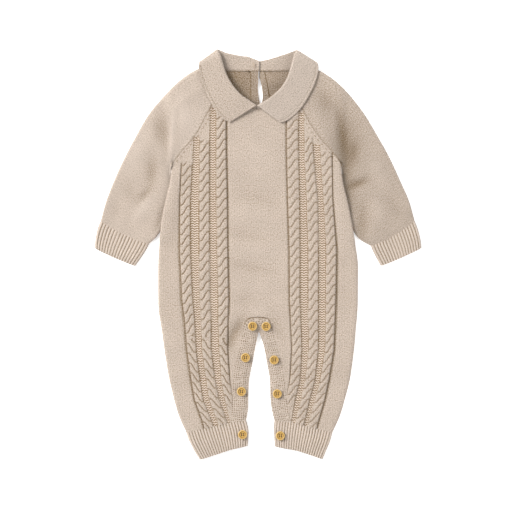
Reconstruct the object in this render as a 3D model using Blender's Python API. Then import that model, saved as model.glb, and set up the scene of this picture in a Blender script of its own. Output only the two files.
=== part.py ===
"""Baby romper with a fold-over collar, knitted, laid flat on its back.

The garment lies on the plane z = 0 with its neck towards +Y and its own left leg at -X.
Every cloth piece is a closed sheet with a real wall: an outer and an inner surface joined
round the rims. Panels are cut at the seams and lie on each other as a folded tube.
All tables and constants are in millimetres.
"""

from __future__ import annotations

import math
from typing import Callable, NamedTuple, Sequence

import bmesh
import bpy
from mathutils import Vector

MM = 0.001

# Driving dimensions
ORIGIN_SHIFT = Vector((0.0, 1.55, 0.0))  # brings the middle of the outline onto the origin
CLOTH = 1.9
RIB_CLOTH = 2.2
BAND_CLOTH = 2.3
SEAM_GAP = 0.3
BODY_HALF_HEIGHT = 3.2
SLEEVE_HALF_HEIGHT = 2.3
CUFF_HALF_HEIGHT = 2.8
BODY_FOLD_WIDTH = 4.5
SLEEVE_FOLD_WIDTH = 3.2
TUCK_HALF_HEIGHT = 2.05
TUCK_LIFT = 5.0
NECK_HALF_HEIGHT = 2.25
NECK_LIFT = 2.2
PLACKET_DROP = 1.4
BUTTON_RADIUS = 6.0
BUTTON_HEIGHT = 2.6
BUTTON_BASE = 7.0
BUTTON_HOLE_RADIUS = 0.8
BUTTON_HOLE_OFFSET = 1.55
NECK_BUTTON_RADIUS = 4.5
NECK_BUTTON_HEIGHT = 1.7
NECK_BUTTON_BASE = 2.15
BUTTON_PROFILE = ((0.82, 0.0), (0.97, 0.22), (1.0, 0.6), (0.93, 1.0), (0.8, 0.97), (0.68, 0.68))
BUTTON_STEPS = 20
BUTTON_HOLES = 4
BUTTON_HOLE_STEPS = 8
BUTTON_HOLE_DEPTH = 3.0  # of the cutter, in button heights
# Where the sleeve tucked under the body lifts it: in from the side fold, then up along it.
TUCK_WIDTH = 8.0
TUCK_FADE = 16.0
TUCK_FOOT = 6.0
TUCK_FOOT_FADE = 18.0
TUCK_HEAD = 104.0
TUCK_HEAD_FADE = 12.0
# Where the collar's fall lifts the back: up from the yoke, then in from the shoulders.
NECK_FOOT = 212.0
NECK_FOOT_FADE = 14.0
NECK_SIDE = 96.0
NECK_SIDE_FADE = 15.0
# Ridge between the full shoulder and the flat sleeve.
RIDGE_LEFT = 113.0
RIDGE_RIGHT = 108.5
RIDGE_FADE = 10.0
MOUTH_FULLNESS = 10.0
MOUTH_BEND = 0.8
MOUTH_CLEARANCE = 0.2
BAND_COLUMNS = (0.0, 0.3, 0.6, 0.85, 1.0)
BAND_RISE = 0.2
BAND_DROP_WIDTH = 8.0
CUFF_COLUMNS = (0.25, 0.5, 0.75, 1.0)
CUFF_END_COLUMNS = (0.4, 0.75, 1.0)
SLIT_COLUMNS = (0.0, 0.5, 1.0)
SLIT_GAP = 0.35
SLIT_FOOT_GAP = 0.45
SLIT_OVERLAP = 1.6
SLIT_OVERLAP_FOOT = 222.0
SLIT_OVERLAP_FADE = 15.0
ROLL_REACH = 2.2
ROLL_BULGE = 0.2
FALL_COLUMNS = (0.33, 0.67)
COLLAR_STEPS = 2
SHARP_ANGLE = math.radians(40.0)
MITRE_LIMIT = 0.4
KNIT_COLOUR = (0.64, 0.53, 0.44)
RIB_COLOUR = (0.62, 0.51, 0.42)
WOOD_COLOUR = (0.58, 0.38, 0.17)
KNIT_ROUGHNESS = 0.9
WOOD_ROUGHNESS = 0.55

FOLD_ANGLES = (0, 40, 90)
PANEL_COLUMNS = (0.07, 0.15, 0.3, 0.6, 1.0)


class LegRow(NamedTuple):
    """Side fold, seam of the placket band and inner leg edge, at one height of a leg."""

    side_x: float
    side_y: float
    band_x: float
    band_y: float
    edge_x: float
    edge_y: float


class PanelRow(NamedTuple):
    """Ends of one row of a half panel, and how far its middle hangs below them."""

    side_x: float
    side_y: float
    inner_x: float
    inner_y: float
    sag: float


class SlitRow(NamedTuple):
    """Back neck slit: where each band is sewn and where it ends."""

    outer_y: float
    edge_y: float
    left_outer: float
    left_edge: float
    right_edge: float
    right_outer: float


class SleeveRow(NamedTuple):
    """Outer fold and inner fold of a sleeve, the bow of the row and its share of the mouth."""

    fold_x: float
    fold_y: float
    edge_x: float
    edge_y: float
    bow: float
    mouth: float


class CuffRow(NamedTuple):
    """Inner end, band seam and side fold of one round of a leg cuff."""

    edge_x: float
    edge_y: float
    knee_x: float
    knee_y: float
    side_x: float
    side_y: float


class CollarRow(NamedTuple):
    """Section of a collar leaf: seam, roll and outer edge, with heights of its middle."""

    seam_x: float
    seam_y: float
    seam_z: float
    roll_x: float
    roll_y: float
    stand_z: float
    fall_z: float
    outer_x: float
    outer_y: float
    outer_z: float


class Point(NamedTuple):
    """Outer and inner surface of the cloth at one place."""

    outer: Vector
    inner: Vector


LEG_LEFT = (
    LegRow(-93.5, -231.5, -35.5, -218.5, -15.5, -216.0),
    LegRow(-103.0, -210.0, -34.6, -203.0, -13.2, -202.0),
    LegRow(-110.0, -186.0, -33.6, -184.0, -12.6, -184.0),
    LegRow(-115.5, -163.0, -32.5, -163.0, -11.5, -163.0),
    LegRow(-119.5, -140.0, -29.0, -140.0, -7.2, -140.0),
    LegRow(-122.8, -118.0, -23.5, -118.5, -3.2, -119.0),
    LegRow(-125.6, -98.0, -20.5, -100.0, -0.8, -108.0),
    LegRow(-127.6, -85.0, -17.0, -88.0, 0.1, -103.0),
    LegRow(-129.0, -76.0, -12.0, -82.5, 0.6, -101.6),
    LegRow(-129.9, -66.0, 0.0, -80.8, 1.0, -101.0),
)
LEG_RIGHT = (
    LegRow(97.0, -231.5, 43.3, -218.0, 21.5, -216.0),
    LegRow(106.5, -210.0, 39.5, -203.0, 18.0, -202.0),
    LegRow(113.7, -186.0, 37.2, -186.0, 16.0, -186.0),
    LegRow(119.5, -163.0, 34.5, -163.0, 15.5, -163.0),
    LegRow(123.0, -140.0, 30.5, -140.0, 11.5, -140.0),
    LegRow(125.6, -118.0, 24.5, -118.5, 7.5, -119.0),
    LegRow(127.3, -98.0, 19.5, -100.0, 4.0, -108.0),
    LegRow(128.5, -85.0, 16.5, -88.0, 2.4, -103.0),
    LegRow(129.2, -76.0, 12.0, -82.5, 1.5, -101.6),
    LegRow(129.8, -66.0, 0.0, -80.8, 1.0, -101.0),
)
TRUNK_LEFT = (
    PanelRow(-129.9, -66.0, 0.0, -80.8, 0.0),
    PanelRow(-130.1, -40.0, 0.0, -48.0, 0.0),
    PanelRow(-130.0, -12.0, 0.0, -16.0, 0.0),
    PanelRow(-128.6, 12.0, 0.0, 14.0, 0.0),
    PanelRow(-126.8, 32.0, 0.0, 40.0, 0.0),
    PanelRow(-124.0, 52.0, 0.0, 60.0, 0.0),
    PanelRow(-119.8, 71.0, 0.0, 77.0, 0.0),
    PanelRow(-115.6, 88.0, 0.0, 92.0, 0.0),
    PanelRow(-113.3, 103.0, 0.0, 105.0, 0.0),
    PanelRow(-113.0, 117.0, 0.0, 116.0, 0.0),
)
TRUNK_RIGHT = (
    PanelRow(129.8, -66.0, 0.0, -80.8, 0.0),
    PanelRow(130.1, -40.0, 0.0, -48.0, 0.0),
    PanelRow(130.0, -12.0, 0.0, -16.0, 0.0),
    PanelRow(126.8, 12.0, 0.0, 14.0, 0.0),
    PanelRow(123.6, 32.0, 0.0, 40.0, 0.0),
    PanelRow(119.9, 52.0, 0.0, 60.0, 0.0),
    PanelRow(116.0, 71.0, 0.0, 77.0, 0.0),
    PanelRow(111.6, 88.0, 0.0, 92.0, 0.0),
    PanelRow(109.2, 103.0, 0.0, 105.0, 0.0),
    PanelRow(108.5, 117.0, 0.0, 116.0, 0.0),
)
FRONT_YOKE_LEFT = (
    PanelRow(-113.0, 117.0, 0.0, 116.0, 0.0),
    PanelRow(-107.0, 124.5, 0.0, 124.0, 0.0),
    PanelRow(-98.0, 136.0, 0.0, 136.0, 0.5),
    PanelRow(-88.0, 147.5, 0.0, 147.0, 1.0),
    PanelRow(-77.0, 163.0, 0.0, 158.0, 2.0),
    PanelRow(-69.0, 179.0, 0.0, 168.0, 3.5),
    PanelRow(-61.5, 193.0, 0.0, 176.0, 5.5),
    PanelRow(-53.5, 207.5, 0.0, 182.0, 7.5),
    PanelRow(-44.0, 224.0, 0.0, 187.0, 9.0),
)
FRONT_YOKE_RIGHT = (
    PanelRow(108.5, 117.0, 0.0, 116.0, 0.0),
    PanelRow(103.0, 125.5, 0.0, 124.0, 0.0),
    PanelRow(93.5, 137.0, 0.0, 136.0, 0.5),
    PanelRow(84.0, 147.5, 0.0, 147.0, 1.0),
    PanelRow(73.0, 162.5, 0.0, 158.0, 2.0),
    PanelRow(65.0, 175.5, 0.0, 168.0, 3.5),
    PanelRow(57.5, 190.0, 0.0, 176.0, 5.5),
    PanelRow(51.0, 204.5, 0.0, 182.0, 7.5),
    PanelRow(44.0, 222.0, 0.0, 187.0, 9.0),
)
BACK_YOKE_LEFT = (
    PanelRow(-113.0, 117.0, 0.0, 116.0, 0.0),
    PanelRow(-104.0, 131.0, 0.0, 128.0, 0.0),
    PanelRow(-94.0, 147.0, 0.0, 142.0, 0.0),
    PanelRow(-86.0, 160.0, 0.0, 154.0, 0.0),
    PanelRow(-80.0, 170.0, 0.0, 163.5, 0.0),
)
BACK_YOKE_RIGHT = (
    PanelRow(108.5, 117.0, 0.0, 116.0, 0.0),
    PanelRow(99.5, 131.0, 0.0, 128.0, 0.0),
    PanelRow(90.0, 147.0, 0.0, 142.0, 0.0),
    PanelRow(82.5, 160.0, 0.0, 154.0, 0.0),
    PanelRow(77.0, 170.0, 0.0, 163.5, 0.0),
)
BACK_NECK_LEFT = (
    PanelRow(-76.0, 177.0, -10.0, 167.0, 0.0),
    PanelRow(-69.0, 190.0, -10.3, 180.0, 0.0),
    PanelRow(-61.0, 204.0, -10.3, 195.5, 0.0),
    PanelRow(-56.5, 213.0, -10.3, 205.0, 0.0),
    PanelRow(-51.0, 223.5, -10.2, 216.5, 0.0),
    PanelRow(-47.0, 231.0, -10.0, 227.0, 0.0),
    PanelRow(-43.4, 238.4, -10.0, 237.7, 0.0),
)
BACK_NECK_RIGHT = (
    PanelRow(73.5, 176.5, 10.5, 167.0, 0.0),
    PanelRow(67.0, 189.0, 14.0, 180.0, 0.0),
    PanelRow(59.5, 203.0, 15.8, 195.5, 0.0),
    PanelRow(55.0, 212.0, 15.5, 205.0, 0.0),
    PanelRow(49.5, 223.0, 13.6, 216.5, 0.0),
    PanelRow(45.5, 231.0, 11.4, 227.0, 0.0),
    PanelRow(42.0, 238.4, 8.8, 237.7, 0.0),
)
SLIT = (
    SlitRow(167.0, 164.2, -10.0, -0.1, 0.6, 10.5),
    SlitRow(180.0, 180.0, -10.3, 1.4, 2.9, 14.0),
    SlitRow(195.5, 195.5, -10.3, 2.4, 4.6, 15.8),
    SlitRow(205.0, 205.0, -10.3, 0.9, 6.0, 15.5),
    SlitRow(216.5, 216.5, -10.2, 0.0, 5.1, 13.6),
    SlitRow(227.0, 227.0, -10.0, 0.4, 2.9, 11.4),
    SlitRow(237.7, 237.7, -10.0, 0.5, 1.7, 8.8),
)
SLEEVE_LEFT = (
    SleeveRow(-205.0, 43.5, -142.0, 13.5, 3.0, 0.0),
    SleeveRow(-197.5, 70.0, -130.5, 25.0, 3.0, 0.0),
    SleeveRow(-187.5, 96.0, -121.5, 42.0, 2.0, 0.05),
    SleeveRow(-174.0, 125.5, -116.0, 62.0, 1.0, 0.15),
    SleeveRow(-159.0, 154.0, -112.0, 80.0, 0.0, 0.28),
    SleeveRow(-143.0, 181.5, -112.6, 94.0, 0.0, 0.42),
    SleeveRow(-125.0, 203.5, -113.9, 104.0, 0.0, 0.58),
    SleeveRow(-106.0, 223.0, -113.9, 111.0, 0.5, 0.72),
    SleeveRow(-88.5, 236.0, -113.9, 114.6, 1.0, 0.84),
    SleeveRow(-70.0, 244.5, -113.8, 116.1, 1.5, 0.93),
    SleeveRow(-50.5, 249.0, -113.7, 116.9, 0.0, 1.0),
)
SLEEVE_RIGHT = (
    SleeveRow(204.0, 43.5, 147.0, 11.0, 3.0, 0.0),
    SleeveRow(196.5, 70.0, 130.5, 21.5, 3.0, 0.0),
    SleeveRow(185.5, 95.0, 118.5, 42.0, 2.0, 0.05),
    SleeveRow(171.5, 125.5, 112.5, 62.0, 1.0, 0.15),
    SleeveRow(156.5, 152.5, 108.0, 80.0, 0.0, 0.28),
    SleeveRow(139.5, 181.0, 108.6, 94.0, 0.0, 0.42),
    SleeveRow(121.5, 205.0, 109.8, 104.0, 0.0, 0.58),
    SleeveRow(103.0, 224.0, 109.5, 111.0, 0.5, 0.72),
    SleeveRow(86.0, 236.0, 109.4, 114.6, 1.0, 0.84),
    SleeveRow(69.0, 243.5, 109.3, 116.1, 1.5, 0.93),
    SleeveRow(50.0, 248.0, 109.2, 116.9, 0.0, 1.0),
)
SLEEVE_CUFF_LEFT = (
    SleeveRow(-205.1, 43.2, -142.1, 13.2, 3.0, 0.0),
    SleeveRow(-210.5, 28.0, -149.5, 0.0, 2.5, 0.0),
    SleeveRow(-213.0, 8.0, -160.0, -15.0, 1.0, 0.0),
)
SLEEVE_CUFF_RIGHT = (
    SleeveRow(204.1, 43.2, 147.1, 10.7, 3.0, 0.0),
    SleeveRow(210.0, 28.0, 152.0, 0.0, 2.5, 0.0),
    SleeveRow(213.0, 8.5, 160.0, -15.0, 1.0, 0.0),
)
LEG_CUFF_LEFT = (
    CuffRow(-15.5, -216.4, -35.5, -218.9, -93.2, -231.9),
    CuffRow(-12.8, -233.0, -36.0, -237.0, -86.0, -250.5),
    CuffRow(-13.5, -249.0, -36.5, -254.5, -76.0, -267.5),
)
LEG_CUFF_RIGHT = (
    CuffRow(21.5, -216.4, 43.3, -218.4, 96.8, -231.9),
    CuffRow(21.0, -233.0, 47.0, -237.0, 91.5, -250.0),
    CuffRow(22.0, -250.0, 52.0, -255.5, 84.0, -266.5),
)
COLLAR_LEFT = (
    CollarRow(-1.8, 188.6, 5.8, -1.9, 193.6, 8.2, 10.8, -36.5, 172.0, 8.0),
    CollarRow(-13.5, 191.8, 5.8, -10.5, 199.6, 8.8, 11.8, -44.5, 176.0, 8.0),
    CollarRow(-26.0, 201.5, 5.8, -21.5, 207.0, 9.2, 12.3, -53.0, 184.0, 8.0),
    CollarRow(-36.5, 213.5, 5.8, -31.0, 217.5, 9.2, 12.3, -60.5, 197.0, 8.0),
    CollarRow(-41.8, 222.5, 5.8, -37.5, 227.5, 9.0, 12.1, -67.5, 211.0, 8.0),
    CollarRow(-43.6, 232.0, 5.8, -43.0, 238.5, 8.6, 11.6, -73.0, 225.0, 8.1),
    CollarRow(-46.2, 242.0, 5.8, -47.2, 250.5, 8.0, 10.8, -76.2, 237.0, 8.2),
    CollarRow(-49.0, 248.5, 5.4, -50.0, 259.0, 6.4, 9.2, -77.0, 243.0, 7.8),
    CollarRow(-49.8, 251.3, 4.6, -53.0, 264.4, 4.7, 5.0, -75.5, 248.2, 4.6),
    CollarRow(-46.0, 245.8, 3.4, -47.5, 262.8, 3.6, 1.4, -72.5, 246.0, 1.3),
    CollarRow(-42.0, 239.6, 3.2, -43.0, 260.8, 3.2, 1.1, -62.0, 240.0, 1.1),
    CollarRow(-31.0, 238.5, 3.2, -31.0, 258.0, 3.2, 1.0, -41.0, 232.5, 1.0),
    CollarRow(-20.0, 238.3, 3.4, -20.0, 256.0, 3.5, 1.0, -22.0, 230.0, 1.0),
    CollarRow(-12.5, 238.3, 4.6, -12.5, 255.0, 5.15, 1.0, -13.0, 229.5, 1.0),
    CollarRow(-1.0, 238.3, 4.8, -1.0, 249.8, 5.15, 1.0, -1.0, 229.0, 1.0),
)
COLLAR_RIGHT = (
    CollarRow(-1.2, 188.6, 5.8, -1.1, 193.4, 8.2, 10.8, 28.5, 171.5, 8.0),
    CollarRow(11.0, 190.5, 5.8, 7.0, 198.2, 8.8, 11.8, 38.0, 174.5, 8.0),
    CollarRow(23.5, 199.0, 5.8, 17.0, 204.8, 9.2, 12.3, 48.0, 182.5, 8.0),
    CollarRow(34.5, 211.0, 5.8, 28.5, 215.2, 9.2, 12.3, 58.5, 194.5, 8.0),
    CollarRow(41.5, 221.5, 5.8, 36.0, 226.0, 9.0, 12.1, 67.0, 209.0, 8.0),
    CollarRow(43.4, 232.0, 5.8, 41.2, 238.0, 8.6, 11.6, 74.0, 224.0, 8.1),
    CollarRow(46.0, 242.0, 5.8, 45.2, 250.0, 8.0, 10.8, 77.4, 235.5, 8.2),
    CollarRow(48.6, 247.6, 5.4, 47.5, 258.0, 6.4, 9.2, 78.2, 241.5, 7.8),
    CollarRow(49.4, 250.4, 4.6, 50.5, 263.6, 4.7, 5.0, 76.6, 247.0, 4.6),
    CollarRow(45.5, 245.4, 3.4, 45.5, 262.0, 3.6, 1.4, 73.0, 245.4, 1.3),
    CollarRow(41.0, 239.6, 3.2, 41.0, 260.5, 3.2, 1.1, 62.0, 239.6, 1.1),
    CollarRow(30.0, 238.5, 3.2, 30.0, 256.8, 3.2, 1.0, 41.0, 232.5, 1.0),
    CollarRow(20.0, 238.3, 3.2, 20.0, 253.6, 3.2, 1.0, 22.0, 230.0, 1.0),
    CollarRow(10.0, 238.3, 3.2, 10.0, 251.0, 3.2, 1.0, 10.5, 229.5, 1.0),
    CollarRow(2.0, 238.3, 3.2, 2.0, 249.2, 3.2, 1.0, 2.0, 229.0, 1.0),
)
BUTTON_CENTRES = {
    "button_left_1": (-7.0, -93.2),
    "button_left_2": (-16.2, -134.0),
    "button_left_3": (-21.5, -178.0),
    "button_left_4": (-20.0, -234.0),
    "button_right_1": (10.5, -93.5),
    "button_right_2": (21.0, -137.0),
    "button_right_3": (25.0, -181.0),
    "button_right_4": (29.0, -235.5),
}
NECK_BUTTON_CENTRE = (-6.6, 244.0)


def clear_scene() -> None:
    """Removes every object of the open scene."""
    for item in list(bpy.data.objects):
        bpy.data.objects.remove(item, do_unlink=True)


def make_finish(name: str, colour: tuple[float, float, float], roughness: float) -> bpy.types.Material:
    """Makes a plain Principled BSDF material."""
    finish = bpy.data.materials.new(name)
    finish.use_nodes = True
    shader = finish.node_tree.nodes["Principled BSDF"]
    shader.inputs["Base Color"].default_value = (*colour, 1.0)
    shader.inputs["Roughness"].default_value = roughness
    shader.inputs["Metallic"].default_value = 0.0
    return finish


def smooth(value: float) -> float:
    """Eases 0 to 1 with flat ends, and holds still outside."""
    held = min(max(value, 0.0), 1.0)
    return held * held * (3.0 - 2.0 * held)


def refine(rows: Sequence, between: int) -> list:
    """Adds rows along a Catmull-Rom curve through every column of a table."""
    kind = type(rows[0])
    fine = []
    for index in range(len(rows) - 1):
        before = rows[max(index - 1, 0)]
        start = rows[index]
        end = rows[index + 1]
        after = rows[min(index + 2, len(rows) - 1)]
        for step in range(between):
            t = step / between
            columns = zip(before, start, end, after)
            fine.append(kind(*(catmull(a, b, c, d, t) for a, b, c, d in columns)))
    fine.append(rows[-1])
    return fine


def catmull(a: float, b: float, c: float, d: float, t: float) -> float:
    """Value at t between b and c on a Catmull-Rom curve."""
    straight = 2.0 * b + (c - a) * t
    bend = (2.0 * a - 5.0 * b + 4.0 * c - d) * t * t
    twist = (3.0 * b - a - 3.0 * c + d) * t * t * t
    return 0.5 * (straight + bend + twist)


def side_at(y: float, side: int) -> float:
    """Distance of the body's side fold from the centre line at one height."""
    legs, trunk = (LEG_LEFT, TRUNK_LEFT) if side < 0 else (LEG_RIGHT, TRUNK_RIGHT)
    rows = [*legs, *trunk]
    for lower, upper in zip(rows, rows[1:]):
        if lower.side_y <= y < upper.side_y:
            share = (y - lower.side_y) / (upper.side_y - lower.side_y)
            return abs(lower.side_x + share * (upper.side_x - lower.side_x))
    return abs(rows[-1].side_x if y >= rows[-1].side_y else rows[0].side_x)


def tuck_share(x: float, y: float) -> float:
    """How fully the body's side lies on the sleeve tucked under it."""
    inward = side_at(y, -1 if x < 0 else 1) - abs(x)
    across = 1.0 - smooth((inward - TUCK_WIDTH) / TUCK_FADE)
    foot = smooth((y - TUCK_FOOT) / TUCK_FOOT_FADE)
    head = 1.0 - smooth((y - TUCK_HEAD) / TUCK_HEAD_FADE)
    return across * foot * head


def neck_share(x: float, y: float) -> float:
    """How fully the back lies on the fall of the collar folded under it."""
    return smooth((y - NECK_FOOT) / NECK_FOOT_FADE) * smooth((NECK_SIDE - abs(x)) / NECK_SIDE_FADE)


def body_levels(x: float, y: float) -> tuple[float, float]:
    """Height of the side seams and half the body's thickness at a plan point."""
    tuck = tuck_share(x, y)
    neck = neck_share(x, y)
    half = BODY_HALF_HEIGHT
    half += tuck * (TUCK_HALF_HEIGHT - BODY_HALF_HEIGHT) + neck * (NECK_HALF_HEIGHT - BODY_HALF_HEIGHT)
    return TUCK_LIFT * tuck + NECK_LIFT * neck + half, half


def sleeve_levels(x: float, y: float) -> tuple[float, float]:
    """Height of a sleeve's folds and half its thickness at a plan point."""
    outside = abs(x) - (RIDGE_LEFT if x < 0 else RIDGE_RIGHT)
    full = (1.0 - smooth(outside / RIDGE_FADE)) * smooth((y - TUCK_HEAD) / TUCK_HEAD_FADE)
    neck = neck_share(x, y)
    half = SLEEVE_HALF_HEIGHT + full * (BODY_HALF_HEIGHT - SLEEVE_HALF_HEIGHT)
    half += neck * (NECK_HALF_HEIGHT - half)
    return NECK_LIFT * neck + half, half


def cuff_levels(_x: float, _y: float) -> tuple[float, float]:
    """Height of a sleeve cuff's folds and half its thickness, the same everywhere."""
    return CUFF_HALF_HEIGHT, CUFF_HALF_HEIGHT


def cloth_piece(name: str, grids: Sequence[Sequence[Sequence[Point]]], finish: bpy.types.Material,
                ring: bool = False) -> bpy.types.Object:
    """Builds one closed sheet from grids of outer and inner points.

    Grids that share points are joined there. A ring closes each row on itself.
    """
    pairs: list[Point] = []
    numbers: dict[tuple, int] = {}

    def number(pair: Point) -> int:
        key = tuple(round(value, 2) for value in (*pair.outer, *pair.inner))
        if key not in numbers:
            numbers[key] = len(pairs)
            pairs.append(pair)
        return numbers[key]

    quads = []
    for grid in grids:
        marks = [[number(pair) for pair in row] for row in grid]
        for lower, upper in zip(marks, marks[1:]):
            for k in range(len(lower) if ring else len(lower) - 1):
                after = (k + 1) % len(lower)
                quads.append((lower[k], lower[after], upper[after], upper[k]))
    mesh = bmesh.new()
    outer = [mesh.verts.new((pair.outer + ORIGIN_SHIFT) * MM) for pair in pairs]
    inner = [mesh.verts.new((pair.inner + ORIGIN_SHIFT) * MM) for pair in pairs]
    edges = {(a, b) for quad in quads for a, b in zip(quad, quad[1:] + quad[:1])}
    for quad in quads:
        mesh.faces.new([outer[i] for i in quad])
        mesh.faces.new([inner[i] for i in reversed(quad)])
    for a, b in sorted(edges):
        if (b, a) not in edges:
            mesh.faces.new((outer[b], outer[a], inner[a], inner[b]))
    bmesh.ops.recalc_face_normals(mesh, faces=mesh.faces[:])
    return finish_object(name, mesh, finish)


def finish_object(name: str, mesh: bmesh.types.BMesh, finish: bpy.types.Material) -> bpy.types.Object:
    """Turns a bmesh into a named object with its material and smooth shading."""
    data = bpy.data.meshes.new(name)
    mesh.to_mesh(data)
    mesh.free()
    data.materials.append(finish)
    data.shade_smooth()
    data.set_sharp_from_angle(angle=SHARP_ANGLE)
    item = bpy.data.objects.new(name, data)
    bpy.context.scene.collection.objects.link(item)
    return item


def offset_line(points: Sequence[Vector], distance: float) -> list[Vector]:
    """Moves a plan line sideways, to the left of its direction."""
    moved = []
    for index, point in enumerate(points):
        back = points[max(index - 1, 0)]
        ahead = points[min(index + 1, len(points) - 1)]
        normals = []
        for start, end in ((back, point), (point, ahead)):
            run = end - start
            if run.length > 1e-6:
                normals.append(Vector((-run.y, run.x)).normalized())
        normal = (normals[0] + normals[-1]).normalized()
        moved.append(point + normal * distance / max(normal.dot(normals[0]), MITRE_LIMIT))
    return moved


def leg_as_panel(rows: Sequence[LegRow]) -> list[PanelRow]:
    """Panel rows of a leg, from its side fold to the seam of the placket band."""
    return [PanelRow(row.side_x, row.side_y, row.band_x, row.band_y, 0.0) for row in rows]


def panel_grid(rows: Sequence[PanelRow], layer: int, folded: bool) -> list[list[Point]]:
    """Half of a body panel. Layer is 1 on the front and -1 on the back."""
    grid = []
    for row in rows:
        side = Vector((row.side_x, row.side_y))
        inner = Vector((row.inner_x, row.inner_y))
        width = (inner - side).length
        line = []
        for place, depth, rise in row_places(width, BODY_FOLD_WIDTH, folded, PANEL_COLUMNS):
            outer_plan = side.lerp(inner, place / width)
            inner_plan = side.lerp(inner, depth / width)
            for plan, reach in ((outer_plan, place), (inner_plan, depth)):
                plan.y -= 4.0 * row.sag * (reach / width) * (1.0 - reach / width)
            middle, half = body_levels(outer_plan.x, outer_plan.y)
            high = middle + layer * max(half * rise, SEAM_GAP / 2)
            low = middle + layer * max((half - CLOTH) * rise, SEAM_GAP / 2)
            line.append(Point(Vector((*outer_plan, high)), Vector((*inner_plan, low))))
        grid.append(line)
    return grid


def row_places(width: float, fold: float, folded: bool,
               fractions: Sequence[float]) -> list[tuple[float, float, float]]:
    """Outer place, inner place and rise of each column, from a side fold inwards."""
    places = []
    for angle in FOLD_ANGLES:
        turn = math.radians(angle)
        place = fold * (1.0 - math.cos(turn))
        if folded:
            places.append((place, CLOTH + (fold - CLOTH) * (1.0 - math.cos(turn)), math.sin(turn)))
        else:
            places.append((place, place, 1.0))
    for fraction in fractions:
        place = fold + (width - fold) * fraction
        places.append((place, place, 1.0))
    return places


def body_panel(name: str, layer: int, halves: Sequence[Sequence[Sequence[PanelRow]]],
               finish: bpy.types.Material) -> bpy.types.Object:
    """Front or back panel from its two halves: legs, trunk and yoke."""
    grids = []
    for side, (legs, trunk, yoke) in zip((-1, 1), halves):
        folded = panel_grid([*leg_as_panel(legs), *trunk[1:]], layer, True)
        top = panel_grid(yoke[1:], layer, False)
        grid = [*folded, *top]
        grids.append(grid if side < 0 else [row[::-1] for row in grid])
    return cloth_piece(name, grids, finish)


def placket(name: str, layer: int, finish: bpy.types.Material) -> bpy.types.Object:
    """Band along both inner legs, arched over the crotch."""
    rows = [*LEG_LEFT, *reversed(LEG_RIGHT[:-1])]
    seam = [Vector((row.band_x, row.band_y)) for row in rows]
    seam = offset_line(seam, -SEAM_GAP)
    grid = []
    for plan, row in zip(seam, rows):
        edge = Vector((row.edge_x, row.edge_y))
        width = (edge - plan).length
        line = []
        for share in BAND_COLUMNS:
            place = plan.lerp(edge, share)
            face = BODY_HALF_HEIGHT * (1 + layer)
            if layer > 0:
                near_edge = 1.0 - smooth((1.0 - share) * width / BAND_DROP_WIDTH)
                face += BAND_RISE - PLACKET_DROP * near_edge
            line.append(Point(Vector((*place, face)), Vector((*place, face - layer * BAND_CLOTH))))
        grid.append(line)
    return cloth_piece(name, [grid], finish)


def along(points: Sequence[Vector], fractions: Sequence[float]) -> list[Vector]:
    """Points at given shares of a plan line's length."""
    lengths = [0.0]
    for start, end in zip(points, points[1:]):
        lengths.append(lengths[-1] + (end - start).length)
    found = []
    for fraction in fractions:
        target = min(max(fraction, 0.0), 1.0) * lengths[-1]
        index = 0
        while index < len(points) - 2 and lengths[index + 1] < target - 1e-9:
            index += 1
        span = lengths[index + 1] - lengths[index]
        found.append(points[index].lerp(points[index + 1], (target - lengths[index]) / span))
    return found


def line_shares(points: Sequence[Vector]) -> list[float]:
    """Share of the whole length at each point of a plan line."""
    lengths = [0.0]
    for start, end in zip(points, points[1:]):
        lengths.append(lengths[-1] + (end - start).length)
    return [length / lengths[-1] for length in lengths]


def sleeve_layer(row: SleeveRow, mouth: Sequence[Vector], shares: Sequence[float], layer: int, side: int,
                 levels: Callable[[float, float], tuple[float, float]], cloth: float) -> list[Point]:
    """Upper or lower half of one ring of a sleeve or its cuff, outer fold to inner fold."""
    fold = Vector((row.fold_x, row.fold_y))
    edge = Vector((row.edge_x, row.edge_y))
    chord = edge - fold
    width = chord.length + row.mouth * MOUTH_FULLNESS
    sideways = Vector((chord.y, -chord.x)).normalized() * -side
    columns = []
    turns = [math.radians(angle) for angle in FOLD_ANGLES[:-1]]
    for turn in turns:
        reach = 1.0 - math.cos(turn)
        columns.append((SLEEVE_FOLD_WIDTH * reach / width,
                        (cloth + (SLEEVE_FOLD_WIDTH - cloth) * reach) / width, math.sin(turn)))
    near_end = [(1.0 - outer, 1.0 - inner, rise) for outer, inner, rise in reversed(columns)]
    columns += [(share, share, 1.0) for share in shares[1:-1]] + near_end
    line = []
    for outer_share, inner_share, rise in columns:
        plans = []
        for share in (outer_share, inner_share):
            plan = fold.lerp(edge, share) + sideways * (4.0 * row.bow * share * (1.0 - share))
            bend = along(mouth, (share,))[0] - mouth[0].lerp(mouth[-1], share)
            plans.append(plan + bend * row.mouth)
        middle, half = levels(plans[0].x, plans[0].y)
        high = middle + layer * half * rise
        low = middle + layer * (half - cloth) * rise
        line.append(Point(Vector((*plans[0], high)), Vector((*plans[1], low))))
    return line


def sleeve_tube(name: str, rows: Sequence[SleeveRow], mouths: Sequence[Sequence[Vector]], side: int,
                levels: Callable[[float, float], tuple[float, float]], cloth: float,
                finish: bpy.types.Material) -> bpy.types.Object:
    """Folded tube of a sleeve or a sleeve cuff, open at both ends."""
    upper_mouth, lower_mouth = mouths
    grid = []
    for row in rows:
        upper = sleeve_layer(row, upper_mouth, line_shares(upper_mouth), 1, side, levels, cloth)
        lower = sleeve_layer(row, lower_mouth, line_shares(lower_mouth), -1, side, levels, cloth)
        grid.append([*upper, *reversed(lower[1:-1])])
    return cloth_piece(name, [grid], finish, ring=True)


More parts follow.
